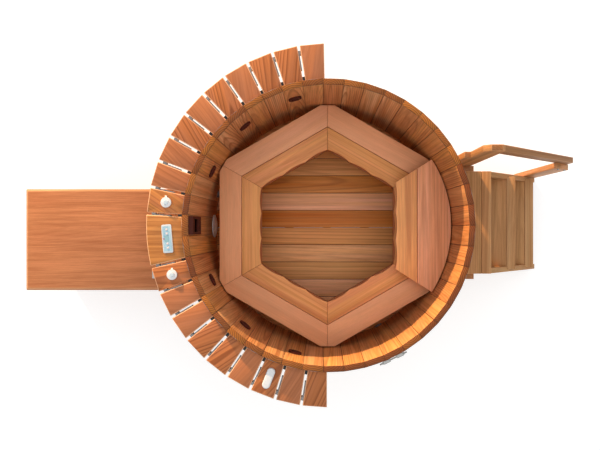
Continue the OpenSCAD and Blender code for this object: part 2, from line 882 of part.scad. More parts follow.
module shelf_brackets() {
    color(black_steel)
    for (a = arm_angles) at_angle(a)
        side_board(-bracket_thickness / 2, bracket_thickness, [
            [ledger_outer + seat_gap, shelf_under],
            [ring_inner - seat_gap, shelf_under],
            [ring_inner - seat_gap, shelf_under - arm_height],
            [ledger_inner + plate_width, shelf_under - arm_drop(a)],
            [ledger_inner, shelf_under - arm_drop(a)],
            [ledger_inner, shelf_under - ledger_height - seat_gap],
            [ledger_outer + seat_gap, shelf_under - ledger_height - seat_gap]
        ]);
}

// ---------------------------------------------------------------- controls
air_body_depth = 155;
pad_stem_diameter = 22;
pad_body_depth = 100;
knob_stem_diameter = 12;

module control_body(d, depth) {
    difference() {
        union() {
            translate([control_reach, 0, shelf_top - depth]) cylinder(h = depth, d = d);
            translate([control_reach, 0, shelf_under - 12]) cylinder(h = 12, d = d + 18, $fn = 8);
        }
        translate([control_reach, 0, shelf_top - slat_thickness])
            cylinder(h = slat_thickness + over, d = knob_stem_diameter + 2 * run_gap);
    }
}

module control_bodies() {
    color(grey_plastic) {
        for (k = [upper_place, lower_place])
            at_angle(slat_angle(k)) control_body(control_body_diameter, air_body_depth);
        at_angle(slat_angle(pad_place)) control_body(pad_stem_diameter, pad_body_depth);
    }
}

// A disc on a stem with a pointer that stands out of its edge
module air_knob(k) {
    bottom = shelf_top + seat_gap;
    color(white_plastic) at_angle(slat_angle(k)) translate([control_reach, 0, 0])
        rotate([0, 0, -slat_angle(k)]) union() {
            translate([0, 0, bottom]) cylinder(h = knob_height, d = knob_diameter);
            translate([0, 0, bottom + knob_height - skin]) cylinder(h = 6, d = knob_diameter * 0.55);
            translate([-6, knob_diameter / 2 - 8, bottom]) cube([12, 18, knob_height * 0.7]);
            translate([0, 0, shelf_top - slat_thickness + 4])
                cylinder(h = slat_thickness, d = knob_stem_diameter);
        }
}

module air_knob_upper() { air_knob(upper_place); }
module air_knob_lower() { air_knob(lower_place); }

air_pipe_diameter = 20;
air_ring_z = box_height + 13;
jet_arc = 3 * jet_stave_step * stave_pitch;

module air_lines() {
    color(grey_plastic) union() {
        translate([0, 0, air_ring_z]) rotate([0, 0, rear - jet_arc - 2])
            rotate_extrude(angle = 2 * jet_arc + 4, $fn = 180)
                translate([jet_reach, 0]) circle(d = air_pipe_diameter, $fn = 32);
        for (i = jet_staves) at_angle(stave_angle(i))
            translate([jet_reach, 0, air_ring_z])
                cylinder(h = jet_height(i) - jet_tee_half - air_ring_z, d = 15);
        for (k = [upper_place, lower_place]) at_angle(slat_angle(k)) {
            rod_x(jet_reach, control_reach, air_pipe_diameter - 2, air_ring_z);
            translate([control_reach, 0, air_ring_z]) sphere(d = air_pipe_diameter + 6);
            translate([control_reach, 0, air_ring_z])
                cylinder(h = shelf_top - air_body_depth - air_ring_z, d = air_pipe_diameter - 2);
        }
    }
}

panel_flange = 5;
key_places = [-58, -32, 32, 58];
key_stand = 3;
key_well = 14;
window_length = 40;
window_depth = 26;

module panel_housing() {
    color("lightblue") at_angle(board_angle) translate([panel_reach, 0, shelf_top]) difference() {
        union() {
            linear_extrude(panel_flange) round_rect(panel_width, panel_length, 10);
            translate([-panel_body_width / 2, -panel_body_length / 2, -panel_body_depth])
                cube([panel_body_width, panel_body_length, panel_body_depth + skin]);
        }
        for (y = key_places) translate([0, y, panel_flange - key_well])
            cylinder(h = key_well + over, d = key_diameter + 2 * seat_gap);
        translate([-window_depth / 2 - hole_gap + 3, -window_length / 2 - hole_gap, panel_flange - 3])
            cube([window_depth + 2 * hole_gap, window_length + 2 * hole_gap, 3 + over]);
    }
}

module panel_window() {
    color("darkslategray") at_angle(board_angle)
        translate([panel_reach + 3 - window_depth / 2, -window_length / 2, shelf_top + panel_flange - 3])
            cube([window_depth, window_length, 3.6]);
}

module panel_key(n) {
    bottom = panel_flange - key_well + key_travel + seat_gap;
    color("whitesmoke") at_angle(board_angle)
        translate([panel_reach, key_places[n - 1], shelf_top + bottom])
            cylinder(h = panel_flange + key_stand - bottom, d = key_diameter);
}

module panel_key_1() { panel_key(1); }
module panel_key_2() { panel_key(2); }
module panel_key_3() { panel_key(3); }
module panel_key_4() { panel_key(4); }

pad_height = 20;

module touch_pad() {
    bottom = shelf_top + pad_travel + seat_gap;
    color(white_plastic) at_angle(slat_angle(pad_place)) translate([control_reach, 0, 0]) union() {
        translate([0, 0, bottom]) linear_extrude(pad_height) union() {
            square([pad_length - pad_width, pad_width], center = true);
            for (s = [-1, 1]) translate([s * (pad_length - pad_width) / 2, 0]) circle(d = pad_width);
        }
        translate([0, 0, shelf_top - slat_thickness + pad_travel + 2])
            cylinder(h = slat_thickness + 2, d = knob_stem_diameter);
    }
}

// ---------------------------------------------------------------- equipment box
box_hinge_reach = tub_radius + hinge_distance;
box_reach = box_hinge_reach + lid_length;
wall_far = box_reach - lid_overhang;
wall_stand = 30;           // from the staves to the box's first wall
wall_near = tub_radius + wall_stand;
wall_half = box_width / 2 - lid_overhang;
wall_top = box_height - lid_thickness - seat_gap;
wall_bottom = 20;
bearer_height = 40;
box_floor_thickness = 19;
box_floor_top = bearer_height + box_floor_thickness;
hinge_slot = 2;
strip_near = tub_radius + wall_stand / 2;
board_gap = 0.5;
riser_y = 100;
riser_reach = wall_near + box_board + manifold_diameter / 2 + 8;
conduit_radius = 16;
conduit_y = -200;
conduit_z = 150;

// Places a piece drawn with +X pointing away from the tub's rear
module box_side() { translate([0, box_centre, 0]) mirror([1, 0, 0]) children(); }

wall_rows = round((wall_top - wall_bottom) / box_board_width);
wall_pitch = (wall_top - wall_bottom) / wall_rows;

wall_inside = wall_half - box_board;
post_inner = wall_near + box_board;      // inner face of the wall next to the tub
post_outer = wall_far - box_board;       // inner face of the far wall
bearer_places = [-wall_inside + box_post, 0, wall_inside - box_post];
vent_pitch = 30;
vent_width = 12;
pipe_hole_gap = 2;

module box_frame() {
    boards = ceil((post_outer - post_inner) / box_board_width);
    pitch = (post_outer - post_inner - 2 * board_gap) / boards;
    color(cedar_brown) box_side() {
        for (y = bearer_places)
            span([wall_near, y - box_post / 2, 0],
                 [post_outer, y + box_post / 2, bearer_height - seat_gap]);
        for (x = [post_inner + board_gap, post_outer - box_post - board_gap],
             y = [-wall_inside, wall_inside - box_post])
            span([x, y, box_floor_top + seat_gap], [x + box_post, y + box_post, wall_top]);
        for (k = [0:boards - 1])
            span([post_inner + board_gap + k * pitch, -wall_inside + board_gap, bearer_height],
                 [post_inner + (k + 1) * pitch, wall_inside - board_gap, box_floor_top]);
    }
}

module side_walls(z0, z1) {
    for (y = [-wall_half, wall_inside])
        span([post_inner + board_gap, y, z0], [post_outer - board_gap, y + box_board, z1]);
}

// The wall next to the tub, notched for the bearers and bored for the suction pipe
module near_wall(z0, z1) {
    difference() {
        span([wall_near, -wall_half, z0], [post_inner, wall_half, z1]);
        translate([0, -box_centre, suction_z])
            rod_x(wall_near - over, post_inner + over, pipe_diameter + 2 * pipe_hole_gap);
        for (y = bearer_places)
            span([wall_near - over, y - box_post / 2 - board_gap, wall_bottom - over],
                 [post_inner + over, y + box_post / 2 + board_gap, bearer_height + board_gap]);
    }
}

// The far wall, with the cable entry and a row of vents
module far_wall(z0, z1, vented) {
    difference() {
        span([post_outer, -wall_half, z0], [wall_far, wall_half, z1]);
        translate([0, conduit_y, conduit_z])
            rod_x(post_outer - over, wall_far + over, 2 * conduit_radius);
        if (vented)
            for (k = [-6:6])
                span([post_outer - over, k * vent_pitch - vent_width / 2, z0 + vent_pitch],
                     [wall_far + over, k * vent_pitch + vent_width / 2, z1 - vent_pitch]);
    }
}

module box_walls() {
    color(cedar_pink) box_side()
    for (row = [0:wall_rows - 1]) {
        z0 = wall_bottom + row * wall_pitch;
        z1 = z0 + wall_pitch - (row == wall_rows - 1 ? 0 : board_gap);
        side_walls(z0, z1);
        near_wall(z0, z1);
        far_wall(z0, z1, row == wall_rows - 2);
    }
}

module box_top_strip() {
    color(cedar_pink) difference() {
        box_side() span([strip_near, -box_width / 2, wall_top],
                        [box_hinge_reach - hinge_slot, box_width / 2, wall_top + lid_thickness]);
        for (s = [-1, 1])
            translate([-riser_reach, s * riser_y, wall_top - over])
                cylinder(h = lid_thickness + 2 * over, d = manifold_diameter + 4);
        translate([-outlet_reach, 0, wall_top - over])
            cylinder(h = lid_thickness + 2 * over, d = pipe_diameter + 4);
    }
}

lid_bevel = 12;
lid_under = wall_top + seat_gap;
batten_height = 19;

module box_lid() {
    x0 = box_hinge_reach + hinge_slot;
    half = box_width / 2;
    color(cedar_pink) box_side() {
        hull() {
            span([x0, -half, lid_under], [box_reach, half, box_height - lid_bevel]);
            span([x0, -half + lid_bevel, lid_under], [box_reach - lid_bevel, half - lid_bevel, box_height]);
        }
        for (x = [x0 + 90, (x0 + box_reach) / 2 - 45, wall_far - 160])
            span([x, -wall_half + box_board + box_post + 5, lid_under - batten_height],
                 [x + 90, wall_half - box_board - box_post - 5, lid_under]);
    }
}

// Three butt hinges on the top boards
hinge_pin_diameter = 6;
knuckle_diameter = 14;
hinge_z = box_height + 8;
leaf_thickness = 3;
leaf_width = 40;
knuckle_half = 13;         // half of the lid leaf's middle knuckle
leaf_half = 2.6 * knuckle_half;
hinge_places = [-box_width / 3, 0, box_width / 3];

// One leaf: a plate on its board and knuckles round the pin, from y0 to y1 each
module hinge_leaf(side, knuckles) {
    x = side * hinge_slot / 2;
    difference() {
        union() {
            span([min(x, x + side * leaf_width), -leaf_half, box_height],
                 [max(x, x + side * leaf_width), leaf_half, box_height + leaf_thickness]);
            for (k = knuckles) rod_y(k[0], k[1], knuckle_diameter, 0, hinge_z);
        }
        rod_y(-leaf_half - over, leaf_half + over, hinge_pin_diameter + 2 * run_gap, 0, hinge_z);
    }
}

// Takes the other leaf's knuckles out of a leaf, from y0 to y1
module knuckle_slot(y0, y1) {
    half = knuckle_diameter / 2 + 2;
    span([-half, y0, box_height - over], [half, y1, hinge_z + knuckle_diameter]);
}

// The lid's leaves, with one middle knuckle each
module lid_hinge_leaves() {
    edge = knuckle_half + seat_gap / 2;
    color(steel_grey) box_side() translate([box_hinge_reach, 0, 0])
        for (y = hinge_places) translate([0, y, 0]) difference() {
            hinge_leaf(1, [[-knuckle_half, knuckle_half]]);
            knuckle_slot(edge, leaf_half + over);
            knuckle_slot(-leaf_half - over, -edge);
        }
}

// The fixed leaves, with two knuckles and the pin each
module fixed_hinge_leaves() {
    inner = knuckle_half + seat_gap;
    box_side() translate([box_hinge_reach, 0, 0])
        for (y = hinge_places) translate([0, y, 0]) {
            difference() {
                hinge_leaf(-1, [[-leaf_half + 2, -inner], [inner, leaf_half - 2]]);
                knuckle_slot(-inner, inner);
            }
            rod_y(-leaf_half, leaf_half, hinge_pin_diameter, 0, hinge_z);
        }
}

// ---------------------------------------------------------------- equipment
pump_y = -260;
pump_z = suction_z;
pump_stand = 290;          // from the staves to the pump's face
pump_face = tub_radius + pump_stand;
volute_depth = 90;
volute_diameter = 200;
motor_length = 300;
filter_reach = pump_face + volute_depth / 2;
filter_y = riser_y;
ring_pipe_drop = 210;
ring_pipe_z = rim_height - ring_pipe_drop;
return_headroom = 102;     // from the walls' top down to the return pipe
return_z = wall_top - return_headroom;
heater_z = box_floor_top + 100;
heater_start = filter_reach + 240;
heater_length = 370;
heater_diameter = 90;
inlet_drop = 69;           // from the canister's top down to its inlet
discharge_z = box_floor_top + filter_height - inlet_drop;
suction_turn = outlet_reach;

shaft_diameter = 16;
fin_height = 6;
fin_half = 2;
motor_end = 30;
volute_wall = 12;
motor_foot_half = 70;
motor_seat = 20;
outlet_neck = 15;
axle = pump_face + volute_depth;         // back face of the wet end

// The wet end, with the suction in front and the outlet on top
module volute() {
    difference() {
        union() {
            rod_x(pump_face, axle, volute_diameter, pump_z);
            translate([filter_reach, 0, pump_z])
                cylinder(h = volute_diameter / 2 + outlet_neck, d = pipe_diameter + 12);
        }
        rod_x(pump_face + volute_wall, axle - volute_wall, volute_diameter - 40, pump_z);
        rod_x(pump_face - over, pump_face + 2 * volute_wall, pipe_inside, pump_z);
        translate([filter_reach, 0, pump_z]) cylinder(h = volute_diameter, d = pipe_inside);
        rod_x(axle - 2 * volute_wall, axle + over, shaft_diameter + 2 * run_gap, pump_z);
    }
}

// The motor, with cooling fins and a foot
module motor() {
    r = motor_diameter / 2;
    difference() {
        union() {
            rod_x(axle + seat_gap, axle + motor_length, motor_diameter, pump_z);
            rod_x(axle + motor_length - skin, axle + motor_length + motor_end,
                  motor_diameter - 20, pump_z);
            for (a = [0:15:345]) translate([0, 0, pump_z]) rotate([a, 0, 0])
                span([axle + 2 * motor_seat, -fin_half, r - 2],
                     [axle + motor_length - motor_seat, fin_half, r + fin_height]);
            span([axle + 2 * motor_seat, -motor_foot_half, box_floor_top],
                 [axle + motor_length - 2 * motor_seat, motor_foot_half, pump_z - r / 2]);
        }
        rod_x(axle - over, axle + 3 * motor_seat, shaft_diameter + 2 * run_gap, pump_z);
    }
}

module pump_body() {
    color(black_steel) mirror([1, 0, 0]) translate([0, pump_y, 0]) {
        volute();
        motor();
    }
}

blade_root = 6;
impeller_half = volute_diameter / 2 - 30;
disc_back = axle - 22;
disc_front = axle - 30;

// A disc with blades on the shaft that runs into the motor
module pump_impeller() {
    color(grey_plastic) mirror([1, 0, 0]) translate([0, pump_y, pump_z]) union() {
        rod_x(pump_face + motor_end, axle + 3 * motor_seat - 2, shaft_diameter);
        rod_x(disc_front, disc_back, 2 * impeller_half);
        for (a = [0:60:300]) rotate([a, 0, 0])
            span([disc_front - shaft_diameter, blade_root, -fin_half],
                 [disc_front + skin, impeller_half - 2, fin_half]);
    }
}

filter_wall = 8;
filter_ring_height = 50;

module filter_body() {
    color(grey_plastic) mirror([1, 0, 0]) translate([filter_reach, filter_y, 0]) difference() {
        union() {
            translate([0, 0, box_floor_top]) cylinder(h = filter_height, d = filter_diameter);
            translate([0, 0, box_floor_top]) cylinder(h = 25, d = filter_diameter + 16);
        }
        translate([0, 0, box_floor_top + filter_wall * 2])
            cylinder(h = filter_height, d = filter_diameter - 2 * filter_wall);
        rod_y(-filter_diameter / 2 - over, -filter_diameter / 2 + filter_wall + 6,
              pipe_inside, 0, discharge_z);
        rod_x(filter_diameter / 2 - filter_wall - 6, filter_diameter / 2 + over,
              pipe_inside, heater_z);
    }
}

module filter_lock_ring() {
    top = box_floor_top + filter_height + seat_gap;
    collar = filter_ring_height - 20;
    grip = 18;
    color(black_steel) mirror([1, 0, 0]) translate([filter_reach, filter_y, top]) union() {
        cylinder(h = collar, d = filter_diameter + 20);
        translate([0, 0, collar - skin]) cylinder(h = 20, d = filter_diameter - 40);
        for (a = [0:45:315]) rotate([0, 0, a])
            span([filter_diameter / 2, -grip / 2, 0], [filter_diameter / 2 + grip, grip / 2, collar]);
    }
}

module filter_cartridge() {
    d = filter_diameter - 60;
    bottom = box_floor_top + filter_wall * 2;
    color("aliceblue") mirror([1, 0, 0]) translate([filter_reach, filter_y, bottom]) difference() {
        union() {
            cylinder(h = filter_height - 40, d = d - 16);
            for (z = [0, filter_height - 52]) translate([0, 0, z]) cylinder(h = 12, d = d);
            for (a = [0:15:345]) rotate([0, 0, a])
                span([d / 2 - 20, -3, 6], [d / 2 - 2, 3, filter_height - 46]);
        }
        translate([0, 0, -over]) cylinder(h = filter_height, d = 54);
    }
}

pack_start = axle + motor_length + motor_end + 25;
pack_size = [290, 190, 400];

module heater_pack() {
    color("gainsboro") mirror([1, 0, 0]) {
        translate([0, filter_y, 0]) {
            difference() {
                union() {
                    rod_x(heater_start, heater_start + heater_length, heater_diameter, heater_z);
                    for (x = [heater_start, heater_start + heater_length - 16])
                        rod_x(x, x + 16, heater_diameter + 20, heater_z);
                    for (x = [heater_start + 70, heater_start + heater_length - 100])
                        span([x, -40, box_floor_top], [x + 30, 40, heater_z]);
                }
                rod_x(heater_start - over, heater_start + heater_length + over,
                      pipe_inside, heater_z);
            }
        }
        translate([pack_start, pump_y - 100, box_floor_top]) difference() {
            cube(pack_size);
            for (k = [0:5]) translate([90, -over, 300 + k * 12]) cube([120, 3 + over, 5]);
        }
    }
}

// A straight pipe between two points that differ along one axis
module pipe(a, b, d) {
    length = norm(b - a);
    dir = (b - a) / length;
    translate(a) rotate([0, dir[2] < 0 ? 180 : acos(dir[2]), atan2(dir[1], dir[0])])
        cylinder(h = length, d = d);
}

// A run of pipes with a socket ball at each corner
module pipe_run(points, d) {
    for (k = [1:len(points) - 1]) pipe(points[k - 1], points[k], d);
    for (k = [1:len(points) - 2]) translate(points[k]) sphere(d = d + 10);
}

module ring_pipe(side) {
    a = [-riser_reach, side * riser_y, ring_pipe_z];
    turn = atan2(side * riser_y, -riser_reach);
    start = side > 0 ? rear - jet_arc - 2 : turn < 0 ? turn + 360 : turn;
    end = side > 0 ? turn : rear + jet_arc + 2;
    translate([0, 0, ring_pipe_z]) rotate([0, 0, start])
        rotate_extrude(angle = end - start, $fn = 180)
            translate([jet_reach, 0]) circle(d = manifold_diameter);
    at_angle(turn) rod_x(jet_reach, norm([riser_reach, riser_y]), manifold_diameter - 4, ring_pipe_z);
    translate(a) sphere(d = manifold_diameter + 8);
    at_angle(turn) translate([jet_reach, 0, ring_pipe_z]) sphere(d = manifold_diameter + 8);
    for (k = [0:2]) {
        i = jet_staves[side > 0 ? k + 3 : k];
        at_angle(stave_angle(i)) translate([jet_reach, 0, jet_height(i) + jet_tee_half])
            cylinder(h = ring_pipe_z - jet_height(i) - jet_tee_half, d = 30);
    }
}

module pipework() {
    filter_side = filter_y - filter_diameter / 2;
    heater_end = heater_start + heater_length;
    return_x = -heater_end - 60;
    return_y = -(pipe_diameter + manifold_diameter) / 2 - 3;
    color(white_plastic) {
        union() {
            pipe_run([[-union_reach, 0, suction_z], [-suction_turn, 0, suction_z],
                      [-suction_turn, pump_y, suction_z], [-pump_face, pump_y, suction_z]], pipe_diameter);
            pipe([-outlet_reach, 0, suction_z],
                 [-outlet_reach, 0, chamber_bottom - skimmer_wall], pipe_diameter - 4);
        }
        pipe_run([[-filter_reach, pump_y, pump_z + volute_diameter / 2 + 15],
                  [-filter_reach, pump_y, discharge_z], [-filter_reach, filter_side, discharge_z]],
                 pipe_diameter);
        pipe([-filter_reach - filter_diameter / 2, filter_y, heater_z],
             [-heater_start, filter_y, heater_z], pipe_diameter);
        union() {
            pipe_run([[-heater_end, filter_y, heater_z], [return_x, filter_y, heater_z],
                      [return_x, filter_y, return_z], [return_x, return_y, return_z],
                      [-riser_reach, return_y, return_z], [-riser_reach, -riser_y, return_z],
                      [-riser_reach, -riser_y, ring_pipe_z]],
                     manifold_diameter);
            pipe([-riser_reach, return_y + skin, return_z], [-riser_reach, riser_y, return_z],
                 manifold_diameter - 2);
            translate([-riser_reach, riser_y, return_z]) sphere(d = manifold_diameter + 10);
            pipe([-riser_reach, riser_y, return_z], [-riser_reach, riser_y, ring_pipe_z],
                 manifold_diameter - 2);
            ring_pipe(1);
            ring_pipe(-1);
        }
    }
}

// ---------------------------------------------------------------- steps
steps_back = outer_corner + seat_gap;
top_front = tub_radius + top_tread_depth;
middle_front = top_front + upper_going;
lowest_front = middle_front + lower_going;
fronts = [top_front, middle_front, lowest_front];
tread_backs = [steps_back, top_front - 25, middle_front - 25];
function tread_top(k) = (3 - k) * step_rise;
nose_drop = 60;
stringer_front = lowest_front + 45;
stringer_top = tread_top(0) - step_board;
outer_half = steps_width / 2;
inner_half = outer_half - step_board;
nosing_half = inner_half + step_board / 2;
post_gap = 0.3;
left_post_right = top_front - 140;
left_post_width = 122;
left_post_foot = 160;
left_foot_top = 1218;
rail_top = tread_top(0) + rail_rise;
right_post_width = 141;
right_post_front = stringer_front + 17;
rail_end = stringer_front + 11;
rail_start = left_post_right - 19;
rail_chamfer = 38;
north_face = steps_centre + outer_half;
outer_face = north_face + step_board + post_gap;
rail_drop = rail_depth / cos(rail_pitch);

function rail_z(x) = rail_top - (x - rail_start) * tan(rail_pitch);
function stringer_z(x) = tread_top(1) - nose_drop - (x - middle_front) * step_rise / lower_going;

// Carriage bolts: x, z, first face and last face across the boards
leg_right = top_front - 123;
right_bolt_x = right_post_front - right_post_width / 2;
bolt_diameter = 8;
step_bolts = [
    [leg_right - 30, 150, north_face - step_board, outer_face + step_board],
    [leg_right - 30, 560, north_face - step_board, outer_face + step_board],
    [right_bolt_x - 35, 60, north_face - step_board, north_face + step_board],
    [right_bolt_x, 110, north_face - step_board, north_face + step_board],
    [right_bolt_x - 35, rail_z(right_bolt_x - 35) - rail_drop + 18, north_face, outer_face + step_board],
    [right_bolt_x + 35, rail_z(right_bolt_x + 35) - rail_drop + 18, north_face, outer_face + step_board],
    [leg_right - 30, 150, steps_centre - outer_half - step_board, steps_centre - inner_half],
    [leg_right - 30, 560, steps_centre - outer_half - step_board, steps_centre - inner_half]
];

module bolt_holes() {
    for (b = step_bolts) rod_y(b[2] - over, b[3] + over, bolt_diameter + 2 * hole_gap, b[0], b[1]);
}

module step_stringers() {
    x_top = middle_front - (stringer_top - tread_top(1) + nose_drop) * lower_going / step_rise;
    color(cedar_light) difference() {
        for (y0 = [steps_centre - outer_half, steps_centre + inner_half])
            side_board(y0, step_board, [
                [steps_back, 0], [stringer_front, 0], [stringer_front, stringer_z(stringer_front)],
                [x_top, stringer_top], [steps_back, stringer_top]
            ]);
        for (k = [1, 2])
            span([fronts[k] - nosing_width - post_gap, steps_centre - nosing_half - post_gap,
                  tread_top(k) - step_board],
                 [fronts[k] + post_gap, steps_centre + nosing_half + post_gap,
                  tread_top(k) + step_rise / 2]);
        bolt_holes();
    }
}

tread_joint = 3;

module step_treads() {
    color(cedar_light)
    for (k = [0:2]) {
        half = k == 0 ? outer_half : nosing_half;
        back_half = k == 0 ? outer_half : inner_half - post_gap;
        z = tread_top(k);
        span([fronts[k] - nosing_width, steps_centre - half, z - step_board],
             [fronts[k], steps_centre + half, z]);
        span([tread_backs[k], steps_centre - back_half, z - step_board],
             [fronts[k] - nosing_width - tread_joint, steps_centre + back_half, z]);
    }
}

// Cleats under the two lower treads, on the stringers' inner faces
module step_posts() {
    left = left_post_right - left_post_width;
    foot = left_post_right - left_post_foot;
    right = right_post_front - right_post_width;
    lap = 30;
    color(cedar_light) {
        for (k = [1, 2], s = [-1, 1])
            translate([0, steps_centre + s * (inner_half - step_board / 2), 0])
                span([tread_backs[k] + 10, -step_board / 2, tread_top(k) - 2 * step_board - 20],
                     [fronts[k] - nosing_width - 10, step_board / 2, tread_top(k) - step_board]);
        difference() {
            union() {
                for (y0 = [north_face, steps_centre - outer_half - step_board])
                    span([leg_right - 89, y0, 0], [leg_right, y0 + step_board, tread_top(0)]);
                side_board(north_face, step_board, [
                    [right, 0], [right_post_front, 0],
                    [right_post_front, rail_z(right_post_front) - rail_drop + lap],
                    [right, rail_z(right) - rail_drop + lap]
                ]);
            }
            bolt_holes();
        }
        difference() {
            side_board(outer_face, step_board, [
                [foot, 0], [left_post_right, 0], [left_post_right, rail_z(left_post_right)],
                [rail_start, rail_top], [left + rail_chamfer, rail_top], [left, rail_top - rail_chamfer],
                [left, left_foot_top], [foot, left_foot_top]
            ]);
            bolt_holes();
        }
    }
}

module handrail() {
    x0 = left_post_right;
    color(cedar_pink) difference() {
        side_board(outer_face, step_board, [
            [x0, rail_z(x0) - rail_drop], [rail_end, rail_z(rail_end) - rail_drop],
            [rail_end, rail_z(rail_end)], [x0, rail_z(x0)]
        ]);
        bolt_holes();
    }
}

module carriage_bolt(b) {
    rod_y(b[2] - 6, b[3] + 4, bolt_diameter, b[0], b[1]);
    rod_y(b[3], b[3] + 5, bolt_diameter * 2.4, b[0], b[1]);
    rod_y(b[2] - 7, b[2], bolt_diameter * 1.8, b[0], b[1]);
}

module hardware() {
    color(steel_grey) {
        for (b = step_bolts) carriage_bolt(b);
        fixed_hinge_leaves();
    }
}

staves();
fitted_staves();
tub_floor();
floor_joists();
hoops();
hoop_lugs();
bench_outer_planks();
bench_inner_planks();
bench_apron();
bench_supports();
raised_seat();
jet_bodies();
jet_nozzle_1();
jet_nozzle_2();
jet_nozzle_3();
jet_nozzle_4();
jet_nozzle_5();
jet_nozzle_6();
skimmer_housing();
skimmer_faceplate();
skimmer_weir();
skimmer_basket();
suction_cover();
wall_unions();
pool_light();
drain_valve();
drain_handle();
shelf_slats();
control_board();
shelf_ring();
shelf_ledger();
shelf_brackets();
control_bodies();
air_knob_upper();
air_knob_lower();
air_lines();
panel_housing();
panel_window();
panel_key_1();
panel_key_2();
panel_key_3();
panel_key_4();
touch_pad();
box_frame();
box_walls();
box_top_strip();
box_lid();
lid_hinge_leaves();
pump_body();
pump_impeller();
filter_body();
filter_lock_ring();
filter_cartridge();
heater_pack();
pipework();
step_stringers();
step_treads();
step_posts();
handrail();
hardware();
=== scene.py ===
"""A round cedar hot tub, seen from straight above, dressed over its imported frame."""
import json
import math
import random

import bmesh
import bpy
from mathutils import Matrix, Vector

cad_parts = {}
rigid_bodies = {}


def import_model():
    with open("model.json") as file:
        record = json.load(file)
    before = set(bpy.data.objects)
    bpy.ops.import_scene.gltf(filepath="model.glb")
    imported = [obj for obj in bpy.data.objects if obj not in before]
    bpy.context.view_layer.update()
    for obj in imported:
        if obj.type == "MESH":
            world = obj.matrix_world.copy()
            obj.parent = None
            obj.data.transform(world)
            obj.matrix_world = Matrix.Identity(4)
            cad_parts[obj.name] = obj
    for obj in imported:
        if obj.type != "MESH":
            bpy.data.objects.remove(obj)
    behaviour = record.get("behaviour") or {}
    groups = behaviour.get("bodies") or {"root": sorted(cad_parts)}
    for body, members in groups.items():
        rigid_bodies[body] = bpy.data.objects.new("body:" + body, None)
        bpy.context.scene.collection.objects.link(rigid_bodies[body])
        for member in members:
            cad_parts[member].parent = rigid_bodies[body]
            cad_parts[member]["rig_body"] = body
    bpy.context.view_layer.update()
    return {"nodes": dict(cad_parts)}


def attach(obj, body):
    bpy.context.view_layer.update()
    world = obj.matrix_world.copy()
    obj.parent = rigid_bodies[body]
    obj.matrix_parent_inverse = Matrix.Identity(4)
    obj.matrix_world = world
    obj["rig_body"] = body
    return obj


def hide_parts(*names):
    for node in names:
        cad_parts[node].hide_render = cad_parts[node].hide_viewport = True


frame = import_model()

NODES = frame["nodes"]
UP = Vector((0, 0, 1))
ALONG_X = Vector((1, 0, 0))
ALONG_Y = Vector((0, 1, 0))

# ---------------------------------------------------------------- camera
PHOTO_WIDTH = 600            # pixels
PHOTO_HEIGHT = 450
SENSOR_WIDTH = 36.0          # millimetres
FOCAL_LENGTH_PIXELS = 658
LENS_AXIS_PIXEL = (321, 229)   # where the lens axis meets the photograph
CAMERA_PLACE = (-0.047, -0.023, 5.32)   # metres, looking straight down


def make_camera():
    data = bpy.data.cameras.new("camera")
    data.sensor_width = SENSOR_WIDTH
    data.lens = FOCAL_LENGTH_PIXELS * SENSOR_WIDTH / PHOTO_WIDTH
    data.shift_x = (PHOTO_WIDTH / 2 - LENS_AXIS_PIXEL[0]) / PHOTO_WIDTH
    data.shift_y = (LENS_AXIS_PIXEL[1] - PHOTO_HEIGHT / 2) / PHOTO_WIDTH
    camera = bpy.data.objects.new("camera", data)
    camera.location = CAMERA_PLACE
    bpy.context.scene.collection.objects.link(camera)
    bpy.context.scene.camera = camera


make_camera()


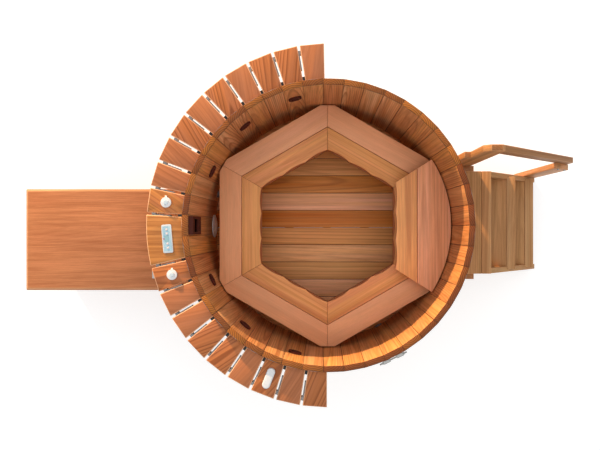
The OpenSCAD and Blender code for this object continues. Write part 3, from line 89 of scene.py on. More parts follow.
# ---------------------------------------------------------------- node helpers
class Nodes:
    """A node tree, with short names for the nodes that the materials and the sky use."""

    def __init__(self, tree):
        self.tree = tree

    def link(self, value, socket):
        if isinstance(value, bpy.types.NodeSocket):
            self.tree.links.new(value, socket)
        else:
            socket.default_value = value

    def attribute(self, name):
        node = self.tree.nodes.new("ShaderNodeAttribute")
        node.attribute_name = name
        return node

    def object_place(self):
        return self.tree.nodes.new("ShaderNodeTexCoord").outputs["Object"]

    def math(self, operation, a, b=0.0, c=0.0):
        node = self.tree.nodes.new("ShaderNodeMath")
        node.operation = operation
        for value, socket in zip((a, b, c), node.inputs):
            self.link(value, socket)
        return node.outputs[0]

    def split(self, vector):
        """The X, Y and Z sockets of a vector."""
        node = self.tree.nodes.new("ShaderNodeSeparateXYZ")
        self.link(vector, node.inputs[0])
        return node.outputs

    def length(self, vector):
        node = self.tree.nodes.new("ShaderNodeVectorMath")
        node.operation = "LENGTH"
        self.link(vector, node.inputs[0])
        return node.outputs["Value"]

    def scaled(self, vector, scale):
        node = self.tree.nodes.new("ShaderNodeMapping")
        node.inputs["Scale"].default_value = scale
        self.link(vector, node.inputs["Vector"])
        return node.outputs[0]

    def noise(self, vector, scale, detail=2.0, roughness=0.5):
        node = self.tree.nodes.new("ShaderNodeTexNoise")
        node.inputs["Scale"].default_value = 1.0
        node.inputs["Detail"].default_value = detail
        node.inputs["Roughness"].default_value = roughness
        self.link(self.scaled(vector, scale), node.inputs["Vector"])
        return node.outputs["Fac"]

    def spread(self, value, low, high, to_low=0.0, to_high=1.0):
        """The value's range from low to high, stretched and held to the other range."""
        node = self.tree.nodes.new("ShaderNodeMapRange")
        for number, socket in zip((low, high, to_low, to_high), node.inputs[1:5]):
            socket.default_value = number
        self.link(value, node.inputs[0])
        return node.outputs[0]

    def ramp(self, value, stops, interpolation="LINEAR"):
        node = self.tree.nodes.new("ShaderNodeValToRGB")
        node.color_ramp.interpolation = interpolation
        elements = node.color_ramp.elements
        while len(elements) < len(stops):
            elements.new(0.5)
        for element, (place, colour) in zip(elements, stops):
            element.position = place
            element.color = (*colour, 1)
        self.link(value, node.inputs[0])
        return node.outputs[0]

    def mix(self, factor, a, b, blend="MIX"):
        node = self.tree.nodes.new("ShaderNodeMix")
        node.data_type = "RGBA"
        node.blend_type = blend
        self.link(factor, node.inputs[0])
        for value, socket in ((a, node.inputs[6]), (b, node.inputs[7])):
            self.link((*value, 1) if isinstance(value, tuple) else value, socket)
        return node.outputs[2]

    def grey(self, value):
        node = self.tree.nodes.new("ShaderNodeCombineColor")
        for socket in node.inputs:
            self.link(value, socket)
        return node.outputs[0]

    def tinted(self, colour, value):
        """The colour times a number near 1."""
        return self.mix(1.0, colour, self.grey(value), "MULTIPLY")

    def bump(self, height, strength, distance):
        node = self.tree.nodes.new("ShaderNodeBump")
        node.inputs["Strength"].default_value = strength
        node.inputs["Distance"].default_value = distance
        self.link(height, node.inputs["Height"])
        return node.outputs[0]


class Shader(Nodes):
    """A material's own node tree."""

    def __init__(self, name):
        self.material = bpy.data.materials.new(name)
        self.material.use_nodes = True
        super().__init__(self.material.node_tree)
        self.surface = self.tree.nodes["Principled BSDF"]

    def set(self, **sockets):
        """Fills the surface's sockets, named with _ for a space, and returns the material."""
        for name, value in sockets.items():
            if isinstance(value, tuple):
                value = (*value, 1)
            self.link(value, self.surface.inputs[name.replace("_", " ")])
        return self.material


def linear(red, green, blue):
    """A display colour of 0 to 255 a channel, as Blender's linear values."""
    return tuple(((c / 255 + 0.055) / 1.055) ** 2.4 if c > 10 else c / 255 / 12.92
                 for c in (red, green, blue))


# ---------------------------------------------------------------- wood
# Noise waves a metre along and across the grain
FIBRE = (9.0, 620.0, 620.0)
STREAK = (0.45, 38.0, 38.0)
HUE_STREAK = (0.3, 15.0, 15.0)
CLOUD = (2.2, 6.0, 6.0)
PITH_BEND = (1.6, 7.0, 7.0)

# Parts of a noise's range that are spread over other values
MIDDLE = (0.3, 0.7)
HUE_PART = (0.42, 0.62)
DARK_PART = (0.45, 0.72)
PALE_PART = (0.25, 0.5)
HIGHLIGHT_AND_JOINT_PART = (0.3, 0.6)

# How far late wood has set in through one ring
RING_STOPS = [(0.0, (0, 0, 0)), (0.45, (0.2, 0.2, 0.2)), (0.8, (1, 1, 1)), (1.0, (0, 0, 0))]
FIGURE_TO_RINGS = (1.25, 0.2)        # gain and least share
FIBRE_SHADE = (0.92, 1.06)
CLOUD_SHADE = (0.93, 1.06)
LATE_WOOD_RELIEF = -0.6
FIBRE_RELIEF = 0.8
GRAIN_BUMP = (0.35, 0.0006)          # strength, and depth in metres

# Where a board's end lies between gold and brown: its number, and a part of its own
END_FROM_BOARD = 0.85
END_OWN_TURNS = 13.0
END_OWN_SHARE = 0.65
END_RINGS = 0.85

# A painted highlight for the rounded edges of the boards
PAINTED_EDGE_HIGHLIGHT = linear(246, 184, 134)
DAMP_JOINT = linear(70, 32, 14)
END_GOLD = linear(208, 126, 42)
END_BROWN = linear(128, 60, 8)
END_DARK = linear(64, 26, 2)
UMBER = linear(120, 56, 20)


def wood(name, tones, other, dark, ring=0.009, ring_depth=0.3, streak_depth=0.2, waver=0.03,
         highlight_and_joint_colour=None, highlight_and_joint_share=0.6, end_grain=0.5, roughness=0.5, other_share=1.0, painted_shade=None):
    """Cedar with rings about a pith line. Each board carries its own grain place, in metres.

    The board's number picks its tone, and its figure says how strongly the rings show.
    The pith line wavers by waver metres, so the rings open into long arches on flat faces."""
    s = Shader(name)
    grain = s.attribute("grain").outputs["Vector"]
    board = s.attribute("board").outputs["Fac"]
    figure = s.attribute("figure").outputs["Fac"]
    edge = s.attribute("edge").outputs["Fac"]
    end = s.attribute("end").outputs["Fac"]

    bend = s.noise(grain, PITH_BEND)
    distance = s.math("MULTIPLY_ADD", bend, waver, s.length(s.scaled(grain, (0.0, 1.0, 1.0))))
    phase = s.math("FRACT", s.math("DIVIDE", distance, ring))
    late_wood = s.ramp(phase, RING_STOPS, "EASE")

    streak = s.noise(grain, STREAK, detail=4.0, roughness=0.65)
    hue_streak = s.noise(grain, HUE_STREAK)
    fibre = s.noise(grain, FIBRE, roughness=0.7)
    cloud = s.noise(grain, CLOUD)

    tone = s.ramp(board, [(k / (len(tones) - 1), tones[k]) for k in range(len(tones))])
    tone = s.mix(s.spread(hue_streak, *HUE_PART, 0.0, other_share), tone, other)
    ring_share = s.math("MULTIPLY", s.math("MULTIPLY_ADD", figure, *FIGURE_TO_RINGS), ring_depth)
    ringed = s.mix(s.math("MULTIPLY", late_wood, ring_share), tone, dark)
    streaked = s.mix(s.spread(streak, *DARK_PART, 0.0, 2.0 * streak_depth), ringed, dark)
    shade = s.math("MULTIPLY", s.spread(streak, *PALE_PART, 1.0 + 0.5 * streak_depth, 1.0),
                   s.spread(fibre, *MIDDLE, *FIBRE_SHADE))
    shade = s.math("MULTIPLY", shade, s.spread(cloud, *MIDDLE, *CLOUD_SHADE))
    # Painted shade, where given, darkens the tub's inner wall towards the bottom
    if painted_shade:
        shade = s.math("MULTIPLY", shade, painted_shade(s))

    own = s.math("MULTIPLY", s.math("FRACT", s.math("MULTIPLY", board, END_OWN_TURNS)),
                 END_OWN_SHARE)
    end_share = s.spread(s.math("MULTIPLY_ADD", board, END_FROM_BOARD, own), 0.0, 1.0)
    end_base = s.mix(end_share, END_GOLD, END_BROWN)
    end_tone = s.mix(s.math("MULTIPLY", late_wood, END_RINGS), end_base, END_DARK)
    streaked = s.mix(s.math("MULTIPLY", end, end_grain), streaked, end_tone)
    # Rounded edges are painted in patches: a painted highlight, or on the staves and floor the
    # dark joint colour
    highlight_and_joint = s.math("MULTIPLY", edge, s.spread(cloud, *HIGHLIGHT_AND_JOINT_PART, 0.4 * highlight_and_joint_share, highlight_and_joint_share))
    colour = s.mix(highlight_and_joint, s.tinted(streaked, shade), highlight_and_joint_colour or PAINTED_EDGE_HIGHLIGHT)

    height = s.math("MULTIPLY_ADD", late_wood, LATE_WOOD_RELIEF,
                    s.math("MULTIPLY", fibre, FIBRE_RELIEF))
    return s.set(
        Base_Color=colour,
        Roughness=s.spread(streak, *MIDDLE, roughness - 0.07, roughness + 0.1),
        Specular_IOR_Level=0.25,
        Normal=s.bump(height, *GRAIN_BUMP),
    )


# Painted shade down the tub's inner wall, darker towards the bench
INNER_FACE = 0.9                     # metres from the axis, between a stave's two faces
WALL_SHADE_SPAN = (1.14, 0.72)            # metres: the painted shade starts, and is full
WALL_SHADE_DEPTH = 0.26


def painted_wall_shade(s):
    """Painted shade: darkens the tub's inner face, more towards the bottom."""
    place = s.object_place()
    radius = s.length(s.scaled(place, (1.0, 1.0, 0.0)))
    inside = s.math("LESS_THAN", radius, INNER_FACE)
    depth = s.spread(s.split(place)["Z"], WALL_SHADE_SPAN[1], WALL_SHADE_SPAN[0], WALL_SHADE_DEPTH, 0.0)
    return s.math("MULTIPLY_ADD", s.math("MULTIPLY", inside, depth), -1.0, 1.0)


SHELL_WOOD = wood(
    "shell cedar", [linear(226, 164, 112), linear(246, 174, 90), linear(250, 200, 148),
                    linear(226, 148, 92), linear(244, 176, 104)],
    linear(236, 170, 112), linear(138, 66, 26), ring=0.012, ring_depth=0.5, streak_depth=0.25,
    waver=0.012, highlight_and_joint_colour=DAMP_JOINT, highlight_and_joint_share=0.9, end_grain=0.95, painted_shade=painted_wall_shade)
FLOOR_WOOD = wood(
    "floor cedar", [linear(242, 176, 136), linear(234, 170, 108), linear(222, 154, 94),
                    linear(204, 120, 46), linear(194, 100, 10)],
    linear(232, 166, 92), linear(134, 66, 26), ring=0.02, ring_depth=0.36, streak_depth=0.2,
    waver=0.01, other_share=0.4, highlight_and_joint_colour=DAMP_JOINT, highlight_and_joint_share=0.8)
BENCH_WOOD = wood(
    "bench cedar", [linear(238, 174, 132), linear(234, 174, 134), linear(242, 174, 126)],
    linear(238, 176, 130), linear(202, 134, 94), ring_depth=0.2, streak_depth=0.12, waver=0.015,
    highlight_and_joint_share=0.3)
SEAT_EDGE_WOOD = wood(
    "bench edge cedar", [linear(228, 164, 98), linear(230, 164, 104)], linear(228, 156, 104),
    linear(182, 108, 54), ring=0.016, ring_depth=0.3, streak_depth=0.26, waver=0.01, highlight_and_joint_share=0.35)
RAISED_WOOD = wood(
    "raised seat cedar", [linear(244, 178, 112), linear(248, 184, 144)], linear(244, 176, 130),
    linear(184, 110, 72), ring=0.02, ring_depth=0.3, streak_depth=0.3, waver=0.01, highlight_and_joint_share=0.35)
# The shelf slats carry a strong pale painted highlight on their rounded edges
SLAT_WOOD = wood(
    "shelf cedar", [linear(190, 120, 80), linear(194, 120, 76), linear(204, 122, 66),
                    linear(206, 134, 70)],
    linear(198, 122, 76), linear(118, 56, 22), ring=0.016, ring_depth=0.46, streak_depth=0.14,
    highlight_and_joint_colour=linear(255, 200, 158), highlight_and_joint_share=1.0)
# The control board's rounded edges carry a pale painted highlight
CONTROL_WOOD = wood(
    "control board cedar", [linear(208, 140, 74), linear(198, 114, 54)], linear(210, 142, 80),
    linear(140, 78, 34), ring=0.02, ring_depth=0.36, streak_depth=0.4, waver=0.01,
    highlight_and_joint_colour=linear(255, 200, 150), highlight_and_joint_share=1.0)
LID_WOOD = wood(
    "lid cedar", [linear(212, 136, 88), linear(206, 132, 86)], linear(208, 134, 86),
    linear(166, 90, 50), ring=0.012, ring_depth=0.28, streak_depth=0.28, highlight_and_joint_share=0.7)
STEP_WOOD = wood(
    "step cedar", [linear(162, 110, 66), linear(196, 144, 90), linear(200, 152, 98),
                   linear(206, 158, 108), linear(238, 160, 98)],
    linear(192, 138, 88), linear(136, 88, 46), ring=0.013, ring_depth=0.3, streak_depth=0.22,
    waver=0.015, highlight_and_joint_share=0.35)
FRAME_WOOD = wood(
    "framing cedar", [linear(160, 90, 50), linear(156, 86, 42), linear(176, 98, 44)],
    linear(164, 92, 46), UMBER, highlight_and_joint_share=0.3)


# ---------------------------------------------------------------- grain frames
def turned(centre, step=None):
    """The outward and sideways directions round the tub's axis, at whole steps if given."""
    angle = math.atan2(centre.y, centre.x)
    if step:
        angle = round(angle / step) * step
    outward = Vector((math.cos(angle), math.sin(angle), 0))
    return outward, UP.cross(outward)


def upright(centre, size):
    """Grain up the board, as in the staves."""
    outward, sideways = turned(centre)
    return UP, sideways, outward


def radial(centre, size):
    """Grain away from the tub's axis, as in the shelf slats."""
    outward, sideways = turned(centre)
    return outward, sideways, UP


def six_sided(centre, size):
    """Grain along the sides of the bench's hexagon."""
    outward, sideways = turned(centre, math.tau / 6)
    return sideways, outward, UP


def straight(along, across=None):
    """The same grain direction for every board."""
    along = along.normalized()
    across = across or (ALONG_Y if abs(along.y) < 0.5 else ALONG_X)
    depth = along.cross(across).normalized()
    return lambda centre, size: (along, depth.cross(along), depth)


def lengthwise(centre, size):
    """Grain along the longest side of the box round the board."""
    longest = max(range(3), key=lambda k: size[k])
    return straight((ALONG_X, ALONG_Y, UP)[longest], (ALONG_Y, ALONG_X, ALONG_X)[longest])(
        centre, size)


def bearer(centre, size):
    """Upright grain in the legs, and grain away from the axis in the bearers."""
    return (upright if size.z > max(size.x, size.y) else radial)(centre, size)


# ---------------------------------------------------------------- boards
WELD = 0.00002                       # metres
FLAT = math.radians(0.6)             # faces this near to one plane are one face
SHARP = math.radians(28)             # edges sharper than this are rounded
SHADED_SHARP = math.radians(32)      # edges sharper than this stay crisp in the shading
CAP_NORMAL = 0.9                     # a face this much along the grain is end grain
SIDE_SHARE = 0.36                    # of a stave's breadth: further out lie its joint faces
WET_SWELL = 0.0002                   # metres that each joint face of a wet stave moves out

# Metres from the pith line, along, across and in depth, where a board's grain starts
GRAIN_START = ((0, 40), (-0.09, 0.09), (0.02, 0.1))
GRAIN_RISE = (-0.02, 0.05)           # slope of the grain in a board's depth

# Painted shade: staves on the sunlit side of the inner wall take darker tones, to tone down the
# sun there
SUNLIT_STAVE_ANGLES = (math.radians(265), math.radians(385))   # angles where the staves are darker
SUNLIT_PAINTED_SHADE_TONES = (0.72, 1.0)
OTHER_TONES = (0.0, 0.8)
STAVE_FIGURES = (0.1, 0.8)
STAVE_LEAN = (-0.015, 0.015)


def islands(bm):
    """The vertices of each separate solid."""
    left = set(bm.verts)
    while left:
        group, front = set(), [next(iter(left))]
        while front:
            vertex = front.pop()
            if vertex in group:
                continue
            group.add(vertex)
            front.extend(e.other_vert(vertex) for e in vertex.link_edges)
        left -= group
        yield group


def join_flat_faces(bm):
    """Merges the triangles of each flat face into one face."""
    bmesh.ops.remove_doubles(bm, verts=bm.verts, dist=WELD)
    bmesh.ops.dissolve_limit(bm, angle_limit=FLAT, use_dissolve_boundaries=False,
                             verts=bm.verts, edges=bm.edges, delimit=set())


def round_edges(bm, width, segments, shortest, above):
    """Rounds the sharp outer edges that are long and high enough, and marks the new faces."""
    mark = bm.faces.layers.int.new("rounded")
    sharp = [e for e in bm.edges
             if e.is_manifold and e.is_convex and e.calc_face_angle(0) > SHARP
             and e.calc_length() > shortest and min(v.co.z for v in e.verts) > above]
    if not sharp or width <= 0:
        return mark
    made = bmesh.ops.bevel(bm, geom=sharp, offset=width, segments=segments, profile=0.5,
                           affect="EDGES", clamp_overlap=True, loop_slide=True)
    for face in made["faces"]:
        face[mark] = 1
    return mark


def by_chance(figures=(0.0, 1.0), lean=(-0.04, 0.04)):
    """A random tone, figure and lean of the grain for each board."""
    return lambda index, rng, centre: (rng.random(), rng.uniform(*figures), rng.uniform(*lean))


def in_order(tones, figures, lean=(-0.03, 0.03)):
    """Tones and figures that follow the order of the boards."""
    return lambda index, rng, centre: (tones[index % len(tones)], figures[index % len(figures)],
                                       rng.uniform(*lean))


def stave_look(index, rng, centre):
    """Painted shade: darker tones where the staves' inner faces catch the sun, and any tone
    elsewhere.
    """
    angle = math.atan2(centre.y, centre.x) % math.tau
    angle += math.tau if angle < math.pi / 2 else 0.0
    tones = SUNLIT_PAINTED_SHADE_TONES if SUNLIT_STAVE_ANGLES[0] < angle < SUNLIT_STAVE_ANGLES[1] else OTHER_TONES
    return rng.uniform(*tones), rng.uniform(*STAVE_FIGURES), rng.uniform(*STAVE_LEAN)


def by_place(centre):
    """Orders boards by where they are, to the nearest millimetre."""
    return tuple(round(x, 3) for x in centre)


def round_the_tub(centre):
    """Orders boards anticlockwise from +X."""
    return round(math.atan2(centre.y, centre.x) % math.tau, 3)


def across_the_floor(centre):
    """Orders boards towards +Y."""
    return round(centre.y, 3)


def middle(group):
    """The middle and the size of the box round some vertices."""
    low = Vector(min(v.co[k] for v in group) for k in range(3))
    high = Vector(max(v.co[k] for v in group) for k in range(3))
    return (low + high) / 2, high - low


def piece_from(node, name, material, width=0.0025, segments=2, shortest=0.004, above=-1.0,
               frame_of=lengthwise, seed=0, look=by_chance(), order=by_place, swell=0.0):
    """A copy of a node's solids with rounded edges and a grain place on every board."""
    source = NODES[node]
    bm = bmesh.new()
    bm.from_mesh(source.data)
    join_flat_faces(bm)
    mark = round_edges(bm, width, segments, shortest, above)
    rng = random.Random(seed)
    grain = bm.verts.layers.float_vector.new("grain")
    board = bm.verts.layers.float.new("board")
    figure = bm.verts.layers.float.new("figure")
    edge = bm.faces.layers.float.new("edge")
    end = bm.faces.layers.float.new("end")
    groups = sorted(((*middle(group), group) for group in islands(bm)),
                    key=lambda entry: order(entry[0]))
    for index, (centre, size, group) in enumerate(groups):
        along, across, depth = frame_of(centre, size)
        start = Vector([rng.uniform(*span) for span in GRAIN_START])
        tone, marking, lean = look(index, rng, centre)
        slant = Vector((0, lean, rng.uniform(*GRAIN_RISE)))
        for vertex in group:
            place = vertex.co - centre
            u = place.dot(along)
            vertex[grain] = start + Vector((u, place.dot(across), place.dot(depth))) + slant * u
            vertex[board] = tone
            vertex[figure] = marking
            if swell and abs(place.dot(across)) > SIDE_SHARE * size.xy.length:
                vertex.co += across * math.copysign(swell, place.dot(across))
        for face in {f for v in group for f in v.link_faces}:
            face[end] = 1.0 if abs(face.normal.dot(along)) > CAP_NORMAL else 0.0
    for face in bm.faces:
        face.smooth = True
        face[edge] = float(face[mark])
    mesh = bpy.data.meshes.new(name)
    bm.to_mesh(mesh)
    bm.free()
    mesh.set_sharp_from_angle(angle=SHADED_SHARP)
    mesh.materials.append(material)
    piece = bpy.data.objects.new(name, mesh)
    bpy.context.scene.collection.objects.link(piece)
    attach(piece, source["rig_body"])
    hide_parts(node)


# ---------------------------------------------------------------- the woodwork
# Across the floor towards +Y, one number a board
FLOOR_TONES = [0.3, 0.5, 0.1, 0.05, 0.3, 0.15, 0.55, 0.95, 0.0, 0.78, 0.45, 0.6, 0.2, 0.4]
FLOOR_FIGURES = [0.3, 0.3, 0.3, 0.1, 0.6, 0.2, 0.7, 0.5, 0.05, 0.8, 0.4, 0.5, 0.3, 0.5]
# Round the shelf from its +Y end, one number a slat
SLAT_TONES = [0.0, 0.66, 0.6, 0.1, 0.66, 0.1, 0.66, 0.3, 0.2, 1.0,
              0.66, 0.2, 0.1, 0.6, 0.66, 0.0, 0.66, 0.1, 0.6]
SLAT_FIGURES = [0.05, 1.0, 0.9, 0.1, 1.0, 0.15, 0.95, 0.3, 0.25, 0.5,
                0.8, 0.1, 0.1, 1.0, 0.9, 0.15, 0.9, 0.15, 0.9]
# A tread's back board, then its lighter front board
TREAD_TONES = [0.3, 0.75]
TREAD_FIGURES = [0.5, 0.2]
# Metres that edges are rounded by, where a board's own edges aren't the usual ones
FINE_EDGE = 0.001
BROAD_EDGE = 0.005
DOWN_THE_STEPS = Vector((1, 0, -1))

piece_from("staves", "stave_boards", SHELL_WOOD, frame_of=upright, seed=1,
           look=stave_look, swell=WET_SWELL)
piece_from("fitted_staves", "fitted_stave_boards", SHELL_WOOD, frame_of=upright,
           seed=2, look=stave_look, swell=WET_SWELL)
piece_from("tub_floor", "floor_boards", FLOOR_WOOD, frame_of=straight(ALONG_X),
           seed=3, look=in_order(FLOOR_TONES, FLOOR_FIGURES, (-0.006, 0.006)),
           order=across_the_floor)
piece_from("floor_joists", "joist_boards", FRAME_WOOD, frame_of=straight(ALONG_Y),
           seed=4)
piece_from("bench_outer_planks", "bench_outer_boards", BENCH_WOOD,
           width=FINE_EDGE, frame_of=six_sided, seed=5, look=by_chance((0.0, 0.4)))
piece_from("bench_inner_planks", "bench_inner_boards", SEAT_EDGE_WOOD,
           width=FINE_EDGE, frame_of=six_sided, seed=6,
           look=by_chance((0.2, 0.7), (-0.01, 0.01)))
piece_from("bench_apron", "apron_boards", FRAME_WOOD, frame_of=six_sided, seed=7)
piece_from("bench_supports", "bench_bearers", FRAME_WOOD, frame_of=bearer, seed=8)
piece_from("raised_seat", "seat_boards", RAISED_WOOD, frame_of=six_sided, seed=9,
           look=in_order([0.0, 1.0], [0.8, 0.6], (-0.01, 0.01)))
piece_from("shelf_slats", "shelf_boards", SLAT_WOOD, width=BROAD_EDGE,
           frame_of=radial, seed=10, look=in_order(SLAT_TONES, SLAT_FIGURES, (0.2, 0.5)),
           order=round_the_tub)
piece_from("control_board", "control_shelf_board", CONTROL_WOOD, width=BROAD_EDGE,
           frame_of=straight(ALONG_X), seed=11, look=in_order([0.1], [0.6]))
piece_from("box_frame", "box_framing", FRAME_WOOD, seed=12)
piece_from("box_walls", "box_wall_boards", SLAT_WOOD, seed=13,
           look=by_chance((0.0, 0.5)))
piece_from("box_top_strip", "box_strip_board", LID_WOOD,
           frame_of=straight(ALONG_Y), seed=14)
piece_from("box_lid", "box_lid_board", LID_WOOD, width=BROAD_EDGE,
           frame_of=straight(ALONG_X), seed=15, look=in_order([0.5], [0.4]))
piece_from("step_stringers", "stringer_boards", STEP_WOOD,
           frame_of=straight(DOWN_THE_STEPS), seed=16, look=by_chance((0.1, 0.6)))
piece_from("step_treads", "tread_boards", STEP_WOOD, frame_of=straight(ALONG_Y),
           seed=17, look=in_order(TREAD_TONES, TREAD_FIGURES))
piece_from("step_posts", "post_boards", STEP_WOOD, frame_of=straight(UP, ALONG_X),
           seed=18, look=in_order([0.9], [0.3]))
piece_from("handrail", "rail_board", STEP_WOOD,
           frame_of=straight(DOWN_THE_STEPS), seed=19, look=in_order([0.0], [0.7]))


# ---------------------------------------------------------------- metals and plastics
# Noise waves a metre
PLASTIC_PATCH = (6, 6, 6)
PLASTIC_GRAIN = (900, 900, 900)
METAL_PATCH = (14, 14, 14)
FILM_GRAIN = (700, 700, 700)
FILM_SPECKLE = (90, 90, 90)
SPANGLE = 60                         # zinc flowers a metre
METAL_WEAR = 0.12                    # share of the colour

# Strength, and depth in metres
PLASTIC_BUMP = (0.12, 0.0002)
METAL_BUMP = (0.1, 0.0004)
FILM_BUMP = (0.1, 0.0002)

TOP_LAYER = 0.0005                   # metres below the highest point that still count as the top
FILM_HALF = (0.024, 0.078)           # metres, half of the blue film's width and length
FILM_FADE = 0.002                    # metres over which the film's edge fades out


def plastic(name, colour, roughness=0.4, mottle=0.06, sheen=0.5):
    """Moulded plastic with a fine texture and faint mottling."""
    s = Shader(name)
    place = s.object_place()
    patch = s.noise(place, PLASTIC_PATCH, detail=3.0)
    fine = s.noise(place, PLASTIC_GRAIN, detail=1.0)
    return s.set(
        Base_Color=s.tinted(colour, s.spread(patch, *MIDDLE, 1 - mottle, 1 + mottle)),
        Roughness=s.spread(patch, *MIDDLE, roughness - 0.06, roughness + 0.08),
        Specular_IOR_Level=sheen,
        Normal=s.bump(fine, *PLASTIC_BUMP),
    )


def metal(name, colour, roughness=0.4, metallic=1.0):
    """Metal, or painted metal, with a mottled finish."""
    s = Shader(name)
    place = s.object_place()
    cells = s.tree.nodes.new("ShaderNodeTexVoronoi")
    cells.inputs["Scale"].default_value = SPANGLE
    s.link(place, cells.inputs["Vector"])
    patch = s.noise(place, METAL_PATCH, detail=4.0)
    spangles = s.spread(cells.outputs["Color"], 0.0, 1.0, -METAL_WEAR / 2, METAL_WEAR / 2)
    shade = s.math("ADD", spangles, s.spread(patch, *MIDDLE, 1 - METAL_WEAR, 1 + METAL_WEAR))
    return s.set(
        Base_Color=s.tinted(colour, shade),
        Metallic=metallic,
        Roughness=s.spread(patch, *MIDDLE, roughness - 0.08, roughness + 0.12),
        Normal=s.bump(patch, *METAL_BUMP),
    )


def top_middle(node):
    """The middle of a node's top face and half of its width, seen from above."""
    points = [v.co for v in NODES[node].data.vertices]
    top = max(p.z for p in points)
    high = [p for p in points if p.z > top - TOP_LAYER]
    low = Vector(min(p[k] for p in high) for k in range(3))
    far = Vector(max(p[k] for p in high) for k in range(3))
    return (low + far) / 2, (far.x - low.x) / 2


def panel_plastic():
    """Pale plastic with a light blue film let into its face."""
    s = Shader("panel plastic")
    centre, _ = top_middle("panel_housing")
    to_panel = s.tree.nodes.new("ShaderNodeMapping")
    to_panel.inputs["Rotation"].default_value = (0, 0, -math.atan2(centre.y, centre.x))
    to_panel.inputs["Location"].default_value = (-centre.xy.length, 0, 0)
    s.link(s.object_place(), to_panel.inputs["Vector"])
    place = s.split(to_panel.outputs[0])
    within = [s.spread(s.math("ABSOLUTE", place[k]), half, half + FILM_FADE, 1.0, 0.0)
              for k, half in enumerate(FILM_HALF)]
    fine = s.noise(s.object_place(), FILM_GRAIN, detail=1.0)
    speckle = s.noise(s.object_place(), FILM_SPECKLE)
    film = s.mix(s.spread(speckle, *MIDDLE), linear(158, 204, 226), linear(186, 220, 236))
    return s.set(
        Base_Color=s.mix(s.math("MULTIPLY", *within), linear(216, 226, 234), film),
        Roughness=s.spread(fine, *MIDDLE, 0.3, 0.45),
        Normal=s.bump(fine, *FILM_BUMP),
    )


GALVANISED = metal("galvanised steel", linear(150, 150, 148), roughness=0.5)
BLACK_STEEL = metal("black steel", linear(26, 26, 28), roughness=0.45, metallic=0.0)
DARK_PLASTIC = plastic("dark plastic", linear(84, 42, 34), roughness=0.6, sheen=0.06)
WHITE_PLASTIC = plastic("white plastic", linear(238, 240, 242), roughness=0.3, mottle=0.02)
GREY_PLASTIC = plastic("grey plastic", linear(120, 126, 130), roughness=0.45)
PANEL_PLASTIC = panel_plastic()
KEY_PLASTIC = plastic("key plastic", linear(236, 228, 230), roughness=0.4, mottle=0.02)
CAP_PLASTIC = plastic("knob cap plastic", linear(212, 228, 238), roughness=0.25, mottle=0.03)
LAMP_LENS = plastic("panel lamp lens", linear(196, 60, 96), roughness=0.2, mottle=0.05)
DISPLAY = plastic("display", linear(146, 192, 204), roughness=0.15)
LENS = plastic("lamp lens", linear(120, 136, 150), roughness=0.25)
BRASS = metal("brass", linear(196, 160, 84), roughness=0.35)
RED_DIP = plastic("red dip", linear(170, 40, 34), roughness=0.4)
FILTER_CLOTH = plastic("filter cloth", linear(226, 230, 232), roughness=0.9)
PIPE = plastic("pipe plastic", linear(226, 226, 222), roughness=0.35, mottle=0.03)
CABINET = metal("powder coat", linear(178, 180, 182), roughness=0.5, metallic=0.0)

FINISHES = {
    GALVANISED: ["hoops", "shelf_ring", "lid_hinge_leaves", "hardware"],
    BLACK_STEEL: ["shelf_ledger", "shelf_brackets"],
    DARK_PLASTIC: ["jet_bodies", "skimmer_housing", "skimmer_faceplate", "skimmer_weir",
                   "filter_lock_ring"] + [f"jet_nozzle_{n}" for n in range(1, 7)],
    WHITE_PLASTIC: ["skimmer_basket", "suction_cover"],
    GREY_PLASTIC: ["wall_unions", "control_bodies", "air_lines", "pump_impeller", "filter_body"],
    DISPLAY: ["panel_window"],
    LENS: ["pool_light"],
    BRASS: ["drain_valve"],
    FILTER_CLOTH: ["filter_cartridge"],
    PIPE: ["pipework"],
}

for finish, names in FINISHES.items():
    for name in names:
        mesh = NODES[name].data
        mesh.materials.clear()
        mesh.materials.append(finish)


# Metres that edges are rounded by
PAD_EDGE = 0.008
KNOB_EDGE = 0.002
PANEL_EDGE = 0.0012
BRACKET_EDGE = 0.0015
CABINET_EDGE = 0.003
PAD_TOP = top_middle("touch_pad")[0].z - 0.001   # only the pad's upper edge lies above this

piece_from("touch_pad", "touch_pad_cap", WHITE_PLASTIC, width=PAD_EDGE,
           segments=5, shortest=0.0, above=PAD_TOP)
for side in ("upper", "lower"):
    piece_from(f"air_knob_{side}", f"air_knob_{side}_cap", WHITE_PLASTIC,
               width=KNOB_EDGE, segments=3, shortest=0.0)
for number in range(1, 5):
    piece_from(f"panel_key_{number}", f"panel_key_{number}_cap", KEY_PLASTIC,
               width=PANEL_EDGE, shortest=0.0)
piece_from("panel_housing", "panel_case", PANEL_PLASTIC, width=PANEL_EDGE,
           shortest=0.0)
piece_from("hoop_lugs", "hoop_clamps", GALVANISED, width=BRACKET_EDGE)
piece_from("pump_body", "pump_case", BLACK_STEEL, width=BRACKET_EDGE)
piece_from("heater_pack", "heater_case", CABINET, width=CABINET_EDGE)
piece_from("drain_handle", "drain_lever", RED_DIP, width=BRACKET_EDGE)


DISC_SEGMENTS = 40
DISC_TAPER = 0.9                     # the top's radius over the foot's
KNOB_DISC_SHARE = 0.78               # of the knob's radius
KNOB_DISC_HEIGHT = 0.0012            # metres
LAMP_OFFSET = 0.021                  # metres outward from the panel's middle
LAMP_RADIUS = 0.0042
LAMP_HEIGHT = 0.002


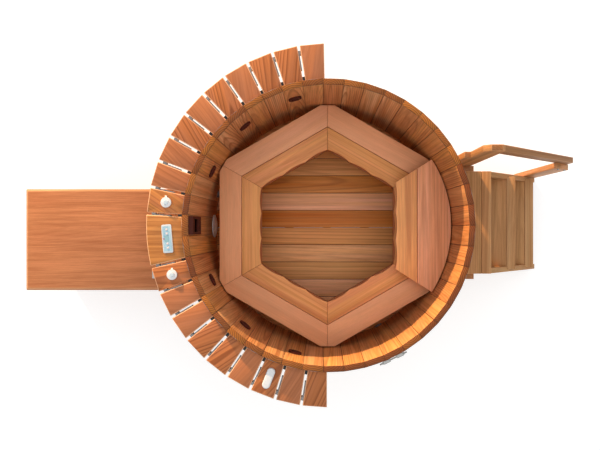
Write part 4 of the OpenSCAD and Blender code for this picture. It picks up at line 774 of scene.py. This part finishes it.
def small_disc(name, place, radius, height, material, body):
    """A low round disc with a rounded rim, sitting on a face."""
    bm = bmesh.new()
    bmesh.ops.create_cone(bm, cap_ends=True, segments=DISC_SEGMENTS, radius1=radius,
                          radius2=radius * DISC_TAPER, depth=height)
    bmesh.ops.translate(bm, verts=bm.verts, vec=place + UP * (height / 2))
    rim = [e for e in bm.edges if all(v.co.z > place.z + height / 2 for v in e.verts)]
    bmesh.ops.bevel(bm, geom=rim, offset=height / 2, segments=3, profile=0.5, affect="EDGES",
                    clamp_overlap=True)
    for face in bm.faces:
        face.smooth = True
    mesh = bpy.data.meshes.new(name)
    bm.to_mesh(mesh)
    bm.free()
    mesh.materials.append(material)
    piece = bpy.data.objects.new(name, mesh)
    bpy.context.scene.collection.objects.link(piece)
    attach(piece, body)


for side in ("upper", "lower"):
    centre, half = top_middle(f"air_knob_{side}")
    small_disc(f"air_knob_{side}_disc", centre, half * KNOB_DISC_SHARE, KNOB_DISC_HEIGHT,
               CAP_PLASTIC, NODES[f"air_knob_{side}"]["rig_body"])

centre, _ = top_middle("panel_housing")
small_disc("panel_lamp", centre + centre.xy.normalized().to_3d() * LAMP_OFFSET, LAMP_RADIUS,
           LAMP_HEIGHT, LAMP_LENS, NODES["panel_housing"]["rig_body"])


# ---------------------------------------------------------------- floor and light
WHITE = (1.0, 1.0, 1.0)
FLOOR_COLOUR = (0.6, 0.6, 0.6)
FLOOR_ROUGHNESS = 0.9
FLOOR_GLOW = 0.62
FLOOR_REACH = 30                     # metres from the middle to each side
FLOOR_DROP = 0.001                   # metres below the joists
SKY_STRENGTH = 0.3
OVERHEAD_STRENGTH = 1.3
OVERHEAD_ANGLE = math.radians(85)
KEY_STRENGTH = 5.4
KEY_COLOUR = (1.0, 0.68, 0.36)
KEY_ANGLE = math.radians(1.2)
KEY_AZIMUTH = math.radians(120)
KEY_ELEVATION = math.radians(11)


def seen_directly(s):
    """1 for what the camera sees itself, in a mirror or through glass, and 0 for soft light."""
    path = s.tree.nodes.new("ShaderNodeLightPath")
    seen = s.math("MAXIMUM", path.outputs["Is Camera Ray"], path.outputs["Is Glossy Ray"])
    return s.math("MAXIMUM", seen, path.outputs["Is Transmission Ray"])


def make_floor():
    """A wide pale floor that reads white to the camera and keeps a faint shadow."""
    bm = bmesh.new()
    bmesh.ops.create_grid(bm, x_segments=1, y_segments=1, size=FLOOR_REACH)
    mesh = bpy.data.meshes.new("floor")
    bm.to_mesh(mesh)
    bm.free()
    s = Shader("pale floor")
    s.set(Base_Color=FLOOR_COLOUR, Roughness=FLOOR_ROUGHNESS, Emission_Color=WHITE,
          Emission_Strength=s.math("MULTIPLY", seen_directly(s), FLOOR_GLOW))
    mesh.materials.append(s.material)
    floor = bpy.data.objects.new("floor", mesh)
    floor.location.z = -FLOOR_DROP
    bpy.context.scene.collection.objects.link(floor)


def make_lamp(name, strength, angle, colour, towards):
    """Parallel light that comes from the given direction."""
    data = bpy.data.lights.new(name, "SUN")
    data.energy = strength
    data.angle = angle
    data.color = colour
    lamp = bpy.data.objects.new(name, data)
    lamp.rotation_mode = "QUATERNION"
    lamp.rotation_quaternion = towards.to_track_quat("Z", "Y")
    bpy.context.scene.collection.objects.link(lamp)


def make_light():
    world = bpy.data.worlds.new("studio")
    bpy.context.scene.world = world
    world.use_nodes = True
    s = Nodes(world.node_tree)
    background = s.tree.nodes["Background"]
    background.inputs["Color"].default_value = (*WHITE, 1)
    s.link(s.spread(seen_directly(s), 0.0, 1.0, SKY_STRENGTH, 1.0), background.inputs["Strength"])
    make_lamp("overhead", OVERHEAD_STRENGTH, OVERHEAD_ANGLE, WHITE, UP)
    towards = Vector((math.cos(KEY_AZIMUTH) * math.cos(KEY_ELEVATION),
                      math.sin(KEY_AZIMUTH) * math.cos(KEY_ELEVATION),
                      math.sin(KEY_ELEVATION)))
    make_lamp("key", KEY_STRENGTH, KEY_ANGLE, KEY_COLOUR, towards)


make_floor()
make_light()
bpy.context.scene.view_settings.view_transform = "Standard"
